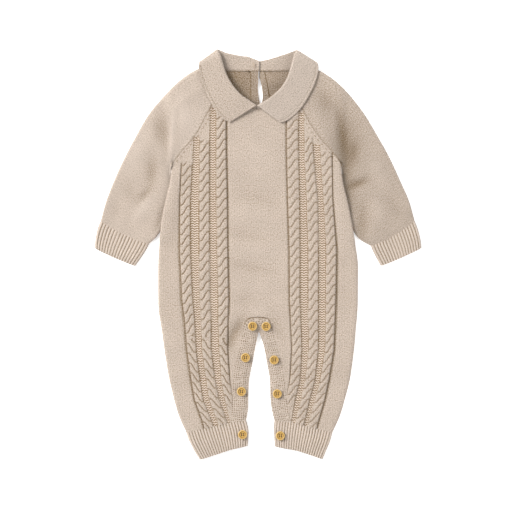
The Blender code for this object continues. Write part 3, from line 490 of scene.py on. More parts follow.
@dataclass(frozen=True)
class LaidShape:
    """How high the layers of the garment lie at each place."""

    body_half: float = 3.2
    sleeve_half: float = 2.3
    tuck_half: float = 2.05
    tuck_lift: float = 5.0
    tuck_foot: Fade = Fade(6.0, 18.0)
    tuck_top: Fade = Fade(116.0, -12.0)
    tuck_reach: Fade = Fade(24.0, -16.0)
    neck_half: float = 2.25
    neck_lift: float = 2.2
    neck_foot: Fade = Fade(212.0, 14.0)
    neck_reach: Fade = Fade(96.0, -15.0)
    armpits: tuple[float, float] = (113.0, 108.5)
    mouth_reach: Fade = Fade(10.0, -10.0)
    mouth_foot: Fade = Fade(104.0, 12.0)

    def side_at(self, x: Array, y: Array) -> Array:
        """Distance of the body's side fold from the centre line.

        Args:
            x: Plan x.
            y: Plan y.

        Returns:
            Distance in millimetres at each place's height.
        """
        found = []
        for side in Side:
            rows = [(row[1], abs(row[0])) for row in (*LEGS[side], *TRUNKS[side][1:])]
            found.append(table_at(rows, y, 1))
        return np.where(x < 0, found[0], found[1])

    def tuck(self, x: Array, y: Array) -> Array:
        """How fully the body's side lies on the sleeve tucked under it.

        Args:
            x: Plan x.
            y: Plan y.

        Returns:
            Share of the full lift, 0 to 1.
        """
        inward = self.side_at(x, y) - np.abs(x)
        return self.tuck_reach.at(inward) * self.tuck_foot.at(y) * self.tuck_top.at(y)

    def neck(self, x: Array, y: Array) -> Array:
        """How fully the back lies on the fall of the collar folded under it."""
        return self.neck_foot.at(y) * self.neck_reach.at(np.abs(x))

    def body(self, x: Array, y: Array) -> tuple[Array, Array]:
        """Height of the side seams and half the body's thickness.

        Args:
            x: Plan x.
            y: Plan y.

        Returns:
            Height of the side seams, and half the thickness.
        """
        tuck = self.tuck(x, y)
        neck = self.neck(x, y)
        half = self.body_half + tuck * (self.tuck_half - self.body_half)
        half = half + neck * (self.neck_half - self.body_half)
        return self.tuck_lift * tuck + self.neck_lift * neck + half, half

    def sleeve(self, x: Array, y: Array) -> tuple[Array, Array]:
        """Height of a sleeve's folds and half its thickness.

        Args:
            x: Plan x.
            y: Plan y.

        Returns:
            Height of the folds, and half the thickness.
        """
        outside = np.abs(x) - np.where(x < 0, *self.armpits)
        full = self.mouth_reach.at(outside) * self.mouth_foot.at(y)
        neck = self.neck(x, y)
        half = self.sleeve_half + full * (self.body_half - self.sleeve_half)
        half = half + neck * (self.neck_half - half)
        return self.neck_lift * neck + half, half


@dataclass(frozen=True)
class Crease:
    """Soft trough or ridge of cloth along a short line; a negative depth makes a ridge. Its shade is painted
    into the colour: painted shade in a trough, and below 0 a painted highlight on a ridge.
    """

    start: tuple[float, float]
    end: tuple[float, float]
    depth: float
    width: float
    shade: float = 0.0

    def at(self, x: Array, y: Array) -> Array:
        """Strength of this crease at each place.

        Args:
            x: Plan x.
            y: Plan y.

        Returns:
            Share of the crease's full depth, 0 to 1.
        """
        run = np.array(self.end) - np.array(self.start)
        length = float(np.hypot(*run))
        along = ((x - self.start[0]) * run[0] + (y - self.start[1]) * run[1]) / length**2
        nearest = np.clip(along, 0.0, 1.0)
        gap = np.hypot(x - self.start[0] - nearest * run[0], y - self.start[1] - nearest * run[1])
        fade = 0.35 + 0.65 * np.sin(np.pi * np.clip(along, 0.0, 1.0))
        return fade * bell(gap, self.width)


# Creases of the front: start, end, depth, width and painted shade; a shade below 0 is a painted highlight.
BODY_CREASES = (
    Crease((-32.0, 80.0), (26.0, 68.0), 1.3, 8.0, 0.09),
    Crease((-30.0, 52.0), (20.0, 50.0), -0.8, 9.0, -0.05),
    Crease((-36.0, 30.0), (10.0, 20.0), 1.2, 6.5, 0.09),
    Crease((-26.0, 4.0), (24.0, 4.0), -0.8, 8.0, -0.05),
    Crease((-34.0, -12.0), (22.0, -23.0), 1.5, 5.5, 0.12),
    Crease((-24.0, -40.0), (24.0, -42.0), -0.8, 8.0, -0.04),
    Crease((-30.0, -62.0), (-6.0, -58.0), 1.2, 7.0, 0.08),
    Crease((-17.0, -80.0), (-35.0, -112.0), 2.4, 7.0, 0.3),
    Crease((-31.0, -98.0), (-37.0, -128.0), 1.4, 6.0, 0.22),
    Crease((14.0, -80.0), (34.0, -108.0), 1.4, 7.0, 0.14),
    Crease((-14.0, -74.0), (12.0, -74.0), -0.9, 4.5, -0.06),
    Crease((-122.0, -60.0), (-108.0, -90.0), 1.0, 9.0, 0.05),
    Crease((-124.0, -96.0), (-108.0, -122.0), -0.6, 9.0, -0.04),
    Crease((108.0, -40.0), (122.0, -70.0), 1.0, 9.0, 0.05),
    Crease((34.0, -146.0), (70.0, -160.0), 1.0, 7.0, 0.05),
    Crease((-42.0, -150.0), (-90.0, -168.0), 0.9, 8.0, 0.05),
    Crease((0.0, 150.0), (4.0, 104.0), -0.7, 22.0, -0.04),
)
# Creases of the sleeves' upper layers: start, end, depth, width and painted shade; a shade below 0 is a
# painted highlight.
SLEEVE_CREASES = (
    Crease((-109.0, 190.0), (-114.5, 120.0), -0.8, 3.6, -0.2),
    Crease((-96.0, 214.0), (-92.0, 150.0), -0.5, 13.0, -0.14),
    Crease((-128.0, 180.0), (-126.0, 144.0), 2.2, 7.5, 0.26),
    Crease((-119.0, 184.0), (-118.5, 120.0), 2.0, 5.0, 0.14),
    Crease((-137.0, 124.0), (-139.0, 90.0), 2.4, 8.0, 0.3),
    Crease((-155.0, 69.0), (-139.0, 86.0), 2.0, 6.0, 0.28),
    Crease((-136.0, 78.0), (-158.0, 46.0), -1.4, 7.0, -0.16),
    Crease((-120.0, 66.0), (-134.0, 30.0), 1.0, 5.0, 0.18),
    Crease((-146.0, 162.0), (-170.0, 104.0), -0.9, 9.0, -0.12),
    Crease((-172.0, 96.0), (-160.0, 66.0), 1.0, 8.0, 0.1),
    Crease((-178.0, 66.0), (-188.0, 48.0), 0.9, 6.0, 0.06),
    Crease((-90.0, 206.0), (-84.0, 186.0), 0.8, 8.0, 0.08),
    Crease((97.0, 192.0), (108.0, 124.0), -0.7, 4.5, -0.1),
    Crease((105.0, 190.0), (114.0, 108.0), 2.6, 8.5, 0.38),
    Crease((116.0, 178.0), (121.0, 112.0), 0.8, 16.0, 0.2),
    Crease((113.0, 112.0), (121.0, 56.0), 1.2, 9.0, 0.24),
    Crease((119.0, 88.0), (143.0, 97.5), 2.2, 5.5, 0.42),
    Crease((128.0, 148.0), (123.0, 116.0), 1.6, 7.0, 0.24),
    Crease((137.0, 66.0), (134.0, 16.0), 1.6, 8.0, 0.24),
    Crease((150.0, 130.0), (166.0, 84.0), -1.0, 9.0, -0.08),
    Crease((152.0, 74.0), (160.0, 44.0), -0.8, 7.0, -0.1),
    Crease((172.0, 78.0), (184.0, 50.0), 1.0, 7.0, 0.08),
    Crease((82.0, 216.0), (94.0, 184.0), 1.0, 11.0, 0.22),
)


@dataclass(frozen=True)
class CableRelief:
    """Relief and painted shade of one cable group on the front: three cables and two ladders."""

    side: Side
    pitch: float = 12.8
    rise: float = 0.95
    lobe_height: float = 1.35
    lobe_foot: float = 0.12
    crossing_width: float = 0.72
    notch_shade: float = 0.74
    crown_light: float = 0.18
    ladder_depth: float = 0.9
    ladder_edge: float = 0.2
    groove_depth: float = 1.1
    groove_width: float = 0.85
    groove_shade: float = 0.8
    top_fade: float = 5.0
    inner_foot: Fade = Fade(-208.0, 24.0)
    groove_foot: Fade = Fade(-196.0, 50.0)
    inner_groove_top: float = 205.0
    reverse_below: float = -105.0
    strip_lag: float = 0.31

    @property
    def tone(self) -> float:
        """Strength of the crossings' shade, softer on the half farther from the key light."""
        return 0.84 if self.side is Side.RIGHT else 0.94

    def borders(self, y: Array) -> list[Array]:
        """X of the six borders at each height, from the outer groove to the inner one."""
        return [table_at(CABLE_BORDERS[self.side], y, column) for column in range(1, 7)]

    def at(self, x: Array, y: Array) -> tuple[Array, Array, Array, Array]:
        """Relief of the group.

        Args:
            x: Plan x.
            y: Plan y.

        Returns:
            Height in millimetres, painted shade (below 0 a painted highlight), ladder share and place across
            a ladder.
        """
        edges = self.borders(y)
        height, shade, ladder, across = (np.zeros_like(x) for _ in range(4))
        for strip, top in enumerate(CABLE_TOPS[self.side]):
            low = np.minimum(edges[strip], edges[strip + 1])
            high = np.maximum(edges[strip], edges[strip + 1])
            t = (x - low) / (high - low)
            inside = (t >= 0.0) & (t <= 1.0)
            t = np.clip(t, 0.0, 1.0)
            shown = inside * ease((top - y) / self.top_fade)
            if strip == len(CABLE_TOPS[self.side]) - 1:
                shown = shown * self.inner_foot.at(y)
            if strip % 2:
                height -= shown * self.ladder_depth * ease(np.minimum(t, 1.0 - t) / self.ladder_edge)
                ladder += shown
                across += shown * t
                continue
            raised, dark = self.cable(t, y, strip, high - low)
            height += shown * raised
            shade += shown * dark
        for border, top in ((0, CABLE_TOPS[self.side][0]), (5, self.inner_groove_top)):
            groove = bell(np.abs(x - edges[border]), self.groove_width) * ease((top - y) / self.top_fade)
            if border:
                groove = groove * self.groove_foot.at(y)
            height -= self.groove_depth * groove
            # Painted shade in the grooves beside the group.
            shade = np.maximum(shade, self.groove_shade * groove)
        return height, np.clip(shade, -0.2, 1.0), ladder, across

    def cable(self, t: Array, y: Array, strip: int, width: Array) -> tuple[Array, Array]:
        """One cable: rounded lobes with notched sides, painted shade in the crossings and notches, and a
        painted highlight on the lobes.

        Args:
            t: Share of the way across the cable.
            y: Plan y.
            strip: Which strip of the group the cable is.
            width: Width of the cable.

        Returns:
            Height in millimetres, and painted shade; below 0 a painted highlight.
        """
        lobe, gap = self.lobe(t, y, strip, width)
        belly = 1.0 - np.abs(2.0 * t - 1.0) ** 3.5
        raised = self.lobe_height * belly**0.7 * (self.lobe_foot + (1.0 - self.lobe_foot) * lobe**0.5)
        crossing = bell(gap, self.crossing_width) * np.clip(2.2 * belly, 0.0, 1.0)
        notch = (1.0 - belly) * (0.35 + 0.5 * (1.0 - lobe) ** 2)
        # Painted shade in the crossings and notches, less a painted highlight on the lobe crowns.
        dark = self.tone * np.maximum(crossing, self.notch_shade * notch) - self.crown_light * lobe * belly
        return raised, dark

    def lobe(self, t: Array, y: Array, strip: int, width: Array) -> tuple[Array, Array]:
        """Rounded lobes between the slanted, S-shaped crossings of one cable.

        Args:
            t: Share of the way across the cable.
            y: Plan y.
            strip: Which strip of the group the cable is.
            width: Width of the cable.

        Returns:
            Rise of the lobe, 0 to 1, and distance from the nearest crossing in millimetres.
        """
        turn = np.ones_like(y)
        if self.side is Side.LEFT:
            turn = 1.0 - 2.0 * ease((self.reverse_below - y) / 6.0)
        bend = np.clip((t - 0.16) / 0.68, 0.0, 1.0)
        slant = 0.14 * t + 0.86 * ease(bend)
        slope = self.pitch * self.rise * (0.14 + 0.86 * 6.0 * bend * (1.0 - bend) / 0.68) / width
        phase = y / self.pitch - turn * self.rise * slant + self.strip_lag * strip
        gap = np.abs(phase - np.rint(phase)) * self.pitch / np.sqrt(1.0 + slope**2)
        return wave(phase), gap


SHAPE = LaidShape()


@dataclass(frozen=True)
class KnitFinish:
    """Matt cotton knit: fine stitches as bump, painted shade in the stitch hollows and crevices, soft sheen.

    The stitches follow the piece's own UV map in metres, wales along its V.
    """

    name: str
    colour: tuple[float, float, float] = (0.63, 0.53, 0.452)
    # Dark colour for painted shade in stitch hollows and crevices and away from the light; random flecks and
    # grain use it too.
    shade_and_fleck_colour: tuple[float, float, float] = (0.15, 0.085, 0.022)
    wale: float = 1.55
    course: float = 1.15
    stitch_depth: float = 0.00045
    stitch_shade: float = 0.3
    loop_slope: float = 0.85
    leg_fullness: float = 0.6
    loop_fullness: float = 0.5
    ladder_pitch: float = 3.19
    ladder_zigzag: float = 0.5
    ladder_shade: float = 0.95
    wale_shade: float = 0.04
    grain_scale: float = 2600.0
    grain_shade: float = 0.25
    fleck_scale: tuple[float, float] = (860.0, 640.0)
    fleck: float = 1.9
    mottle_scale: float = 45.0
    mottle_range: float = 0.07
    base_shade: float = 0.15
    dots: float = 0.0
    dot_pitch: float = 5.0

    def build(self) -> bpy.types.Material:
        """Makes the material.

        Returns:
            The knit material.
        """
        material = bpy.data.materials.new(self.name)
        material.use_nodes = True
        tree = NodeSheet(material)
        u, v = tree.uv("knit")
        ladder = tree.attribute("ladder")
        grain = tree.noise(self.grain_scale, 2.0)
        relief = tree.mix_value(ladder, self.stitches(tree, u, v), self.ladder_bars(tree, v))
        depth = tree.mix_value(ladder, self.stitch_shade, self.ladder_shade)
        # Painted shade in the hollows between stitches and between ladder bars.
        dark = tree.math("MULTIPLY", tree.math("SUBTRACT", 1.0, relief), depth)
        dark = tree.math("MAXIMUM", dark, tree.math("MULTIPLY", ladder, self.ladder_edges(tree, v)))
        # Painted shade stored on the mesh; below 0 it is a painted highlight.
        open_share = tree.math("SUBTRACT", 1.0, dark)
        dark = tree.math("ADD", dark, tree.math("MULTIPLY", tree.attribute("painted_shade"), open_share))
        if self.dots > 0.0:
            dark = tree.math("MAXIMUM", dark, self.dot_rows(tree, u, v))
        wales = tree.math("MULTIPLY_ADD", tree.stripes(u, 2.0 * self.wale), self.wale_shade, self.base_shade)
        dark = tree.math("ADD", wales, dark)
        dark = tree.math("MULTIPLY_ADD", tree.math("SUBTRACT", grain, 0.5), self.grain_shade, dark)
        fleck = tree.math("SUBTRACT", tree.woven_noise(u, v, self.fleck_scale), 0.5)
        dark = tree.math("MULTIPLY_ADD", fleck, self.fleck, dark, clamp=True)
        # Blends the yarn towards the dark colour by painted shade, wales, grain and flecks.
        colour = tree.mix_colour(dark, self.cloth_colour(tree), self.shade_and_fleck_colour)
        tree.finish(colour, tree.math("MULTIPLY_ADD", grain, 0.35, relief), self.stitch_depth)
        return material

    def stitches(self, tree: "NodeSheet", u: "Socket", v: "Socket") -> "Socket":
        """Columns of V-shaped stockinette stitches.

        Args:
            tree: Node sheet of the material.
            u: Place across the cloth.
            v: Place along the cloth.

        Returns:
            Height, 0 to 1.
        """
        part = tree.math("FRACT", tree.math("MULTIPLY", u, PER_METRE / self.wale))
        spread = tree.math("ABSOLUTE", tree.math("MULTIPLY_ADD", part, 2.0, -1.0))
        leg = tree.math("SINE", tree.math("MULTIPLY", spread, math.pi))
        rows = tree.math("MULTIPLY", v, PER_METRE / self.course)
        climb = tree.math("FRACT", tree.math("MULTIPLY_ADD", spread, -self.loop_slope, rows))
        loop = tree.math("SINE", tree.math("MULTIPLY", climb, math.pi))
        leg = tree.math("POWER", leg, self.leg_fullness)
        return tree.math("MULTIPLY", leg, tree.math("POWER", loop, self.loop_fullness))

    def ladder_bars(self, tree: "NodeSheet", v: "Socket") -> "Socket":
        """Zigzag bars of the ladders between the cables.

        Args:
            tree: Node sheet of the material.
            v: Place along the cloth.

        Returns:
            Height, 0 to 1.
        """
        part = tree.math("FRACT", tree.math("MULTIPLY", tree.attribute("across"), 2.0))
        zigzag = tree.math("ABSOLUTE", tree.math("MULTIPLY_ADD", part, 2.0, -1.0))
        rows = tree.math("MULTIPLY", v, PER_METRE / self.ladder_pitch)
        steps = tree.math("MULTIPLY_ADD", zigzag, self.ladder_zigzag, rows)
        bars = tree.math("SINE", tree.math("MULTIPLY", steps, math.tau))
        return tree.math("MULTIPLY_ADD", bars, 0.75, 0.62, clamp=True)

    def ladder_edges(self, tree: "NodeSheet", v: "Socket") -> "Socket":
        """Dark, dotted edges of the ladders.

        Args:
            tree: Node sheet of the material.
            v: Place along the cloth.

        Returns:
            Darkness, 0 to 1.
        """
        aside = tree.math("ABSOLUTE", tree.math("MULTIPLY_ADD", tree.attribute("across"), 2.0, -1.0))
        edge = tree.math("MULTIPLY_ADD", aside, 5.0, -3.6, clamp=True)
        beat = tree.math("MULTIPLY_ADD", tree.stripes(v, 2.0 * self.ladder_pitch), 0.35, 0.6)
        return tree.math("MULTIPLY", edge, beat)

    def cloth_colour(self, tree: "NodeSheet") -> "Socket":
        """Colour of the yarn, faintly uneven.

        Args:
            tree: Node sheet of the material.

        Returns:
            The colour.
        """
        mottle = tree.math("MULTIPLY_ADD", tree.noise(self.mottle_scale, 3.0), 1.6, -0.3, clamp=True)
        light = tuple(min(1.0, channel * (1.0 + self.mottle_range)) for channel in self.colour)
        deep = tuple(channel * (1.0 - self.mottle_range) for channel in self.colour)
        return tree.mix_colour(mottle, deep, light)

    def dot_rows(self, tree: "NodeSheet", u: "Socket", v: "Socket") -> "Socket":
        """Staggered purl dots with uneven strength.

        Args:
            tree: Node sheet of the material.
            u: Place across the band.
            v: Place along the band.

        Returns:
            Darkness of the dots.
        """
        drift = tree.math("MULTIPLY_ADD", tree.noise(170.0, 1.0), 0.004, -0.002)
        loose = tree.math("ADD", v, drift)
        first = tree.stripes(tree.math("ADD", u, loose), self.dot_pitch)
        second = tree.stripes(tree.math("SUBTRACT", u, loose), self.dot_pitch)
        spot = tree.math("MULTIPLY_ADD", tree.math("MULTIPLY", first, second), 3.2, -1.15, clamp=True)
        uneven = tree.math("MULTIPLY_ADD", tree.noise(150.0, 1.0), 4.0, -1.15, clamp=True)
        strength = tree.math("MULTIPLY", tree.attribute("moss"), self.dots)
        return tree.math("MULTIPLY", tree.math("MULTIPLY", spot, uneven), strength)


@dataclass(frozen=True)
class WoodFinish:
    """Varnished pale yellow wood of a turned button, with darker grain streaks, a painted highlight on its
    raised rim, painted shade in its groove and round its outer edge, and darker at its holes.
    """

    name: str = "button_wood"
    face: tuple[float, float, float] = (0.52, 0.33, 0.095)
    # Painted shade in the groove and round the outer edge; the darker grain streaks use it too.
    groove: tuple[float, float, float] = (0.20, 0.095, 0.02)
    # Painted highlight on the raised rim.
    rim: tuple[float, float, float] = (0.60, 0.42, 0.17)

    def build(self) -> bpy.types.Material:
        """Makes the material, which reads the distance from the button's axis in its UV map.

        Returns:
            The wood material.
        """
        material = bpy.data.materials.new(self.name)
        material.use_nodes = True
        tree = NodeSheet(material)
        u, v = tree.uv("knit")
        reach = tree.math("SQRT", tree.math("ADD", tree.math("MULTIPLY", u, u), tree.math("MULTIPLY", v, v)))
        # Ring of painted shade in the groove.
        inner = tree.math("ABSOLUTE", tree.math("SUBTRACT", reach, 0.66))
        ring = tree.math("SUBTRACT", 1.0, tree.math("MULTIPLY", inner, 7.5), clamp=True)
        # Painted highlight from here out to the raised rim.
        outside = tree.math("MULTIPLY_ADD", reach, 5.0, -3.7, clamp=True)
        grain = tree.stretched_noise((260.0, 2400.0, 260.0), 3.0)
        colour = tree.mix_colour(outside, self.face, self.rim)
        colour = tree.mix_colour(ring, colour, self.groove)
        # Painted shade round the outer edge.
        edge = tree.math("MULTIPLY_ADD", reach, 14.0, -13.2, clamp=True)
        colour = tree.mix_colour(tree.math("MULTIPLY", edge, 0.7), colour, self.groove)
        streak = tree.math("MULTIPLY_ADD", grain, 0.9, -0.28, clamp=True)
        colour = tree.mix_colour(tree.math("MULTIPLY", streak, 0.4), colour, self.groove)
        tree.finish(colour, grain, 0.00006, roughness=0.42, sheen=0.0)
        return material


@dataclass(frozen=True)
class ThreadFinish:
    """Twisted sewing thread."""

    name: str = "sewing_thread"
    colour: tuple[float, float, float] = (0.13, 0.065, 0.02)

    def build(self) -> bpy.types.Material:
        """Makes the material.

        Returns:
            The thread material.
        """
        material = bpy.data.materials.new(self.name)
        material.use_nodes = True
        tree = NodeSheet(material)
        twist = tree.noise(3200.0, 2.0)
        pale = tuple(channel * 1.6 for channel in self.colour)
        tree.finish(tree.mix_colour(twist, self.colour, pale), twist, 0.0001, roughness=0.7)
        return material


@dataclass(frozen=True)
class FloorFinish:
    """Plain pale studio floor with a faint texture."""

    name: str = "studio_floor"

    def build(self) -> bpy.types.Material:
        """Makes the material.

        Returns:
            The floor material.
        """
        material = bpy.data.materials.new(self.name)
        material.use_nodes = True
        tree = NodeSheet(material)
        tone = tree.noise(3.0, 2.0)
        colour = tree.mix_colour(tone, (0.93, 0.93, 0.93), (0.95, 0.95, 0.95))
        shader = tree.finish(colour, tone, 0.0, roughness=0.9, sheen=0.0)
        shader.inputs["Emission Color"].default_value = (1.0, 1.0, 1.0, 1.0)
        shader.inputs["Emission Strength"].default_value = 0.4
        return material


Socket = bpy.types.NodeSocket | float


class NodeSheet:
    """Short-hand for wiring a material's nodes."""

    def __init__(self, material: bpy.types.Material) -> None:
        """Takes the material whose tree is wired."""
        self.tree = material.node_tree
        self.shader = self.tree.nodes["Principled BSDF"]

    def link(self, value: Socket, socket: bpy.types.NodeSocket) -> None:
        """Connects a socket, or sets a number or a colour.

        Args:
            value: Socket, number or colour.
            socket: Input that takes it.
        """
        if isinstance(value, bpy.types.NodeSocket):
            self.tree.links.new(value, socket)
        elif isinstance(value, tuple):
            socket.default_value = (*value, 1.0)
        else:
            socket.default_value = value

    def math(self, operation: str, *values: Socket, clamp: bool = False) -> bpy.types.NodeSocket:
        """Adds a Math node.

        Args:
            operation: Name of the operation.
            values: Sockets or numbers, in the node's order.
            clamp: Whether the result is held between 0 and 1.

        Returns:
            The result.
        """
        node = self.tree.nodes.new("ShaderNodeMath")
        node.operation = operation
        node.use_clamp = clamp
        for value, socket in zip(values, node.inputs):
            self.link(value, socket)
        return node.outputs[0]

    def stripes(self, place: Socket, pitch: float) -> bpy.types.NodeSocket:
        """Sine stripes with a pitch in millimetres, over a place in metres."""
        return self.math("SINE", self.math("MULTIPLY", place, math.tau * PER_METRE / pitch))

    def mix_value(self, factor: Socket, first: Socket, second: Socket) -> bpy.types.NodeSocket:
        """Blends two numbers.

        Args:
            factor: Share of the second number.
            first: First number.
            second: Second number.

        Returns:
            The blend.
        """
        node = self.tree.nodes.new("ShaderNodeMix")
        node.data_type = "FLOAT"
        for value, index in ((factor, 0), (first, 2), (second, 3)):
            self.link(value, node.inputs[index])
        return node.outputs[0]

    def mix_colour(self, factor: Socket, first: object, second: object) -> bpy.types.NodeSocket:
        """Blends two colours.

        Args:
            factor: Share of the second colour.
            first: First colour.
            second: Second colour.

        Returns:
            The blend.
        """
        node = self.tree.nodes.new("ShaderNodeMix")
        node.data_type = "RGBA"
        for value, index in ((factor, 0), (first, 6), (second, 7)):
            self.link(value, node.inputs[index])
        return node.outputs[2]

    def uv(self, name: str) -> tuple[bpy.types.NodeSocket, bpy.types.NodeSocket]:
        """The two parts of a UV map.

        Args:
            name: Name of the UV map.

        Returns:
            U and V.
        """
        node = self.tree.nodes.new("ShaderNodeUVMap")
        node.uv_map = name
        split = self.tree.nodes.new("ShaderNodeSeparateXYZ")
        self.tree.links.new(node.outputs[0], split.inputs[0])
        return split.outputs[0], split.outputs[1]

    def attribute(self, name: str) -> bpy.types.NodeSocket:
        """A number stored on the mesh's points.

        Args:
            name: Name of the attribute.

        Returns:
            Its value.
        """
        node = self.tree.nodes.new("ShaderNodeAttribute")
        node.attribute_name = name
        return node.outputs["Fac"]

    def noise(self, scale: float, detail: float) -> bpy.types.NodeSocket:
        """Noise on object coordinates."""
        return self.stretched_noise((scale, scale, scale), detail)

    def woven_noise(self, u: Socket, v: Socket, scale: tuple[float, float]) -> bpy.types.NodeSocket:
        """Noise that follows the stitches, with its own scale across and along them.

        Args:
            u: Place across the cloth.
            v: Place along the cloth.
            scale: Scale across and along.

        Returns:
            Noise, about 0.5.
        """
        joined = self.tree.nodes.new("ShaderNodeCombineXYZ")
        node = self.tree.nodes.new("ShaderNodeTexNoise")
        node.inputs["Scale"].default_value = 1.0
        node.inputs["Detail"].default_value = 2.0
        self.tree.links.new(self.math("MULTIPLY", u, scale[0]), joined.inputs[0])
        self.tree.links.new(self.math("MULTIPLY", v, scale[1]), joined.inputs[1])
        self.tree.links.new(joined.outputs[0], node.inputs["Vector"])
        return node.outputs[0]

    def stretched_noise(self, scale: tuple[float, float, float], detail: float) -> bpy.types.NodeSocket:
        """Noise on object coordinates with its own scale along each axis.

        Args:
            scale: Scale along x, y and z.
            detail: Octaves of the noise.

        Returns:
            Noise, about 0.5.
        """
        place = self.tree.nodes.new("ShaderNodeTexCoord")
        mapping = self.tree.nodes.new("ShaderNodeMapping")
        mapping.inputs["Scale"].default_value = scale
        node = self.tree.nodes.new("ShaderNodeTexNoise")
        node.inputs["Scale"].default_value = 1.0
        node.inputs["Detail"].default_value = detail
        self.tree.links.new(place.outputs["Object"], mapping.inputs[0])
        self.tree.links.new(mapping.outputs[0], node.inputs["Vector"])
        return node.outputs[0]

    def finish(self, colour: Socket, height: Socket, depth: float, roughness: float = 0.88,
               sheen: float = 0.25) -> bpy.types.Node:
        """Wires colour and bump into the shader.

        Args:
            colour: Base colour.
            height: Bump height, 0 to 1.
            depth: What a height of 1 stands for, in metres.
            roughness: Roughness of the surface.
            sheen: Weight of the fibre sheen.

        Returns:
            The shader node.
        """
        self.link(colour, self.shader.inputs["Base Color"])
        self.shader.inputs["Roughness"].default_value = roughness
        self.shader.inputs["Sheen Weight"].default_value = sheen
        self.shader.inputs["Sheen Roughness"].default_value = 0.6
        self.shader.inputs["Specular IOR Level"].default_value = 0.25
        if depth > 0.0:
            bump = self.tree.nodes.new("ShaderNodeBump")
            bump.inputs["Strength"].default_value = 1.0
            bump.inputs["Distance"].default_value = depth
            self.link(height, bump.inputs["Height"])
            self.tree.links.new(bump.outputs[0], self.shader.inputs["Normal"])
        return self.shader


@dataclass
class GridShell:
    """Grid of points that becomes one thin shell of cloth.

    Rows run along the first axis of the arrays. Places are millimetres in the garment's plan.
    """

    name: str
    x: Array
    y: Array
    z: Array
    u: Array
    v: Array
    marks: dict[str, Array] = field(default_factory=dict)
    ring: bool = False
    thickness: float = 1.5
    offset: float = -1.0
    crisp_angle: float = 78.0

    def build(self, material: bpy.types.Material) -> bpy.types.Object:
        """Turns the grid into a mesh object with a wall.

        Args:
            material: Finish of the piece.

        Returns:
            The piece.
        """
        rows, columns = self.x.shape
        mesh = bmesh.new()
        bmesh.ops.create_grid(mesh, x_segments=columns - 1, y_segments=rows - 1, size=1.0)
        data = bpy.data.meshes.new(self.name)
        mesh.to_mesh(data)
        mesh.free()
        order = self.vertex_order(data, rows, columns)
        place = np.stack([self.x, self.y + ORIGIN_SHIFT_Y, self.z], axis=-1).reshape(-1, 3)[order] * MM
        data.vertices.foreach_set("co", place.ravel())
        corners = np.empty(len(data.loops), dtype=np.int32)
        data.loops.foreach_get("vertex_index", corners)
        flat = np.stack([self.u, self.v], axis=-1).reshape(-1, 2)[order][corners] * MM
        layer = data.uv_layers.new(name="knit")
        layer.uv.foreach_set("vector", flat.ravel())
        # The first mark is painted shade for the finish's colour; below 0 it is a painted highlight.
        for mark in ("painted_shade", "ladder", "across", "moss"):
            values = self.marks.get(mark, np.zeros_like(self.x)).ravel()[order]
            data.attributes.new(mark, "FLOAT", "POINT").data.foreach_set("value", values.astype(np.float32))
        if self.ring:
            self.close_ring(data)
        data.materials.append(material)
        data.shade_smooth()
        piece = bpy.data.objects.new(self.name, data)
        bpy.context.scene.collection.objects.link(piece)
        self.give_wall(piece)
        return piece

    def give_wall(self, piece: bpy.types.Object) -> None:
        """Gives the surface its thickness, with crisp cut edges, and keeps it above the table.

        Args:
            piece: The piece, whose mesh is replaced.
        """
        wall = piece.modifiers.new("wall", "SOLIDIFY")
        wall.thickness = self.thickness * MM
        wall.offset = self.offset
        seen = piece.evaluated_get(bpy.context.evaluated_depsgraph_get())
        data = bpy.data.meshes.new_from_object(seen)
        piece.modifiers.clear()
        piece.data = data
        place = np.empty(len(data.vertices) * 3, dtype=np.float32)
        data.vertices.foreach_get("co", place)
        place[2::3] = np.maximum(place[2::3], 0.0)
        data.vertices.foreach_set("co", place)
        data.set_sharp_from_angle(angle=math.radians(self.crisp_angle))

    @staticmethod
    def vertex_order(data: bpy.types.Mesh, rows: int, columns: int) -> Array:
        """Index of the grid point that each vertex of the fresh grid stands for.

        Args:
            data: Mesh of the fresh grid.
            rows: Number of rows.
            columns: Number of columns.

        Returns:
            Index into the flattened arrays for each vertex.
        """
        flat = np.empty(len(data.vertices) * 3, dtype=np.float32)
        data.vertices.foreach_get("co", flat)
        place = flat.reshape(-1, 3)
        column = np.rint((place[:, 0] + 1.0) / 2.0 * (columns - 1)).astype(int)
        row = np.rint((place[:, 1] + 1.0) / 2.0 * (rows - 1)).astype(int)
        return row * columns + column

    @staticmethod
    def close_ring(data: bpy.types.Mesh) -> None:
        """Joins the first and last columns, which lie on each other.

        Args:
            data: Mesh of the grid.
        """
        mesh = bmesh.new()
        mesh.from_mesh(data)
        bmesh.ops.remove_doubles(mesh, verts=mesh.verts[:], dist=WELD)
        bmesh.ops.recalc_face_normals(mesh, faces=mesh.faces[:])
        highest = max(mesh.faces, key=lambda face: face.calc_center_median().z)
        if highest.normal.z < 0.0:
            bmesh.ops.reverse_faces(mesh, faces=mesh.faces[:])
        mesh.to_mesh(data)
        mesh.free()


def rim_rise(distance: Array, fold: Array | float) -> Array:
    """Quarter-round rise of cloth from a fold, by distance from it."""
    return np.sqrt(np.clip(1.0 - (1.0 - np.clip(distance / fold, 0.0, 1.0)) ** 2, 0.0, 1.0))


def rib_shade(lobe: Array) -> Array:
    """Shade of a rib: deep between two ribs, and a little light on top."""
    return (1.0 - lobe) ** 1.5 - 0.12 * lobe


def creased(creases: Sequence[Crease], x: Array, y: Array) -> tuple[Array, Array]:
    """How far all creases together sink the cloth, and how much painted shade they add to its colour.

    Args:
        creases: The creases.
        x: Plan x.
        y: Plan y.

    Returns:
        Depth in millimetres, and painted shade; below 0 a painted highlight.
    """
    strengths = [crease.at(x, y) for crease in creases]
    depth = sum(crease.depth * strength for crease, strength in zip(creases, strengths))
    shade = sum(crease.shade * strength for crease, strength in zip(creases, strengths))
    return depth, shade


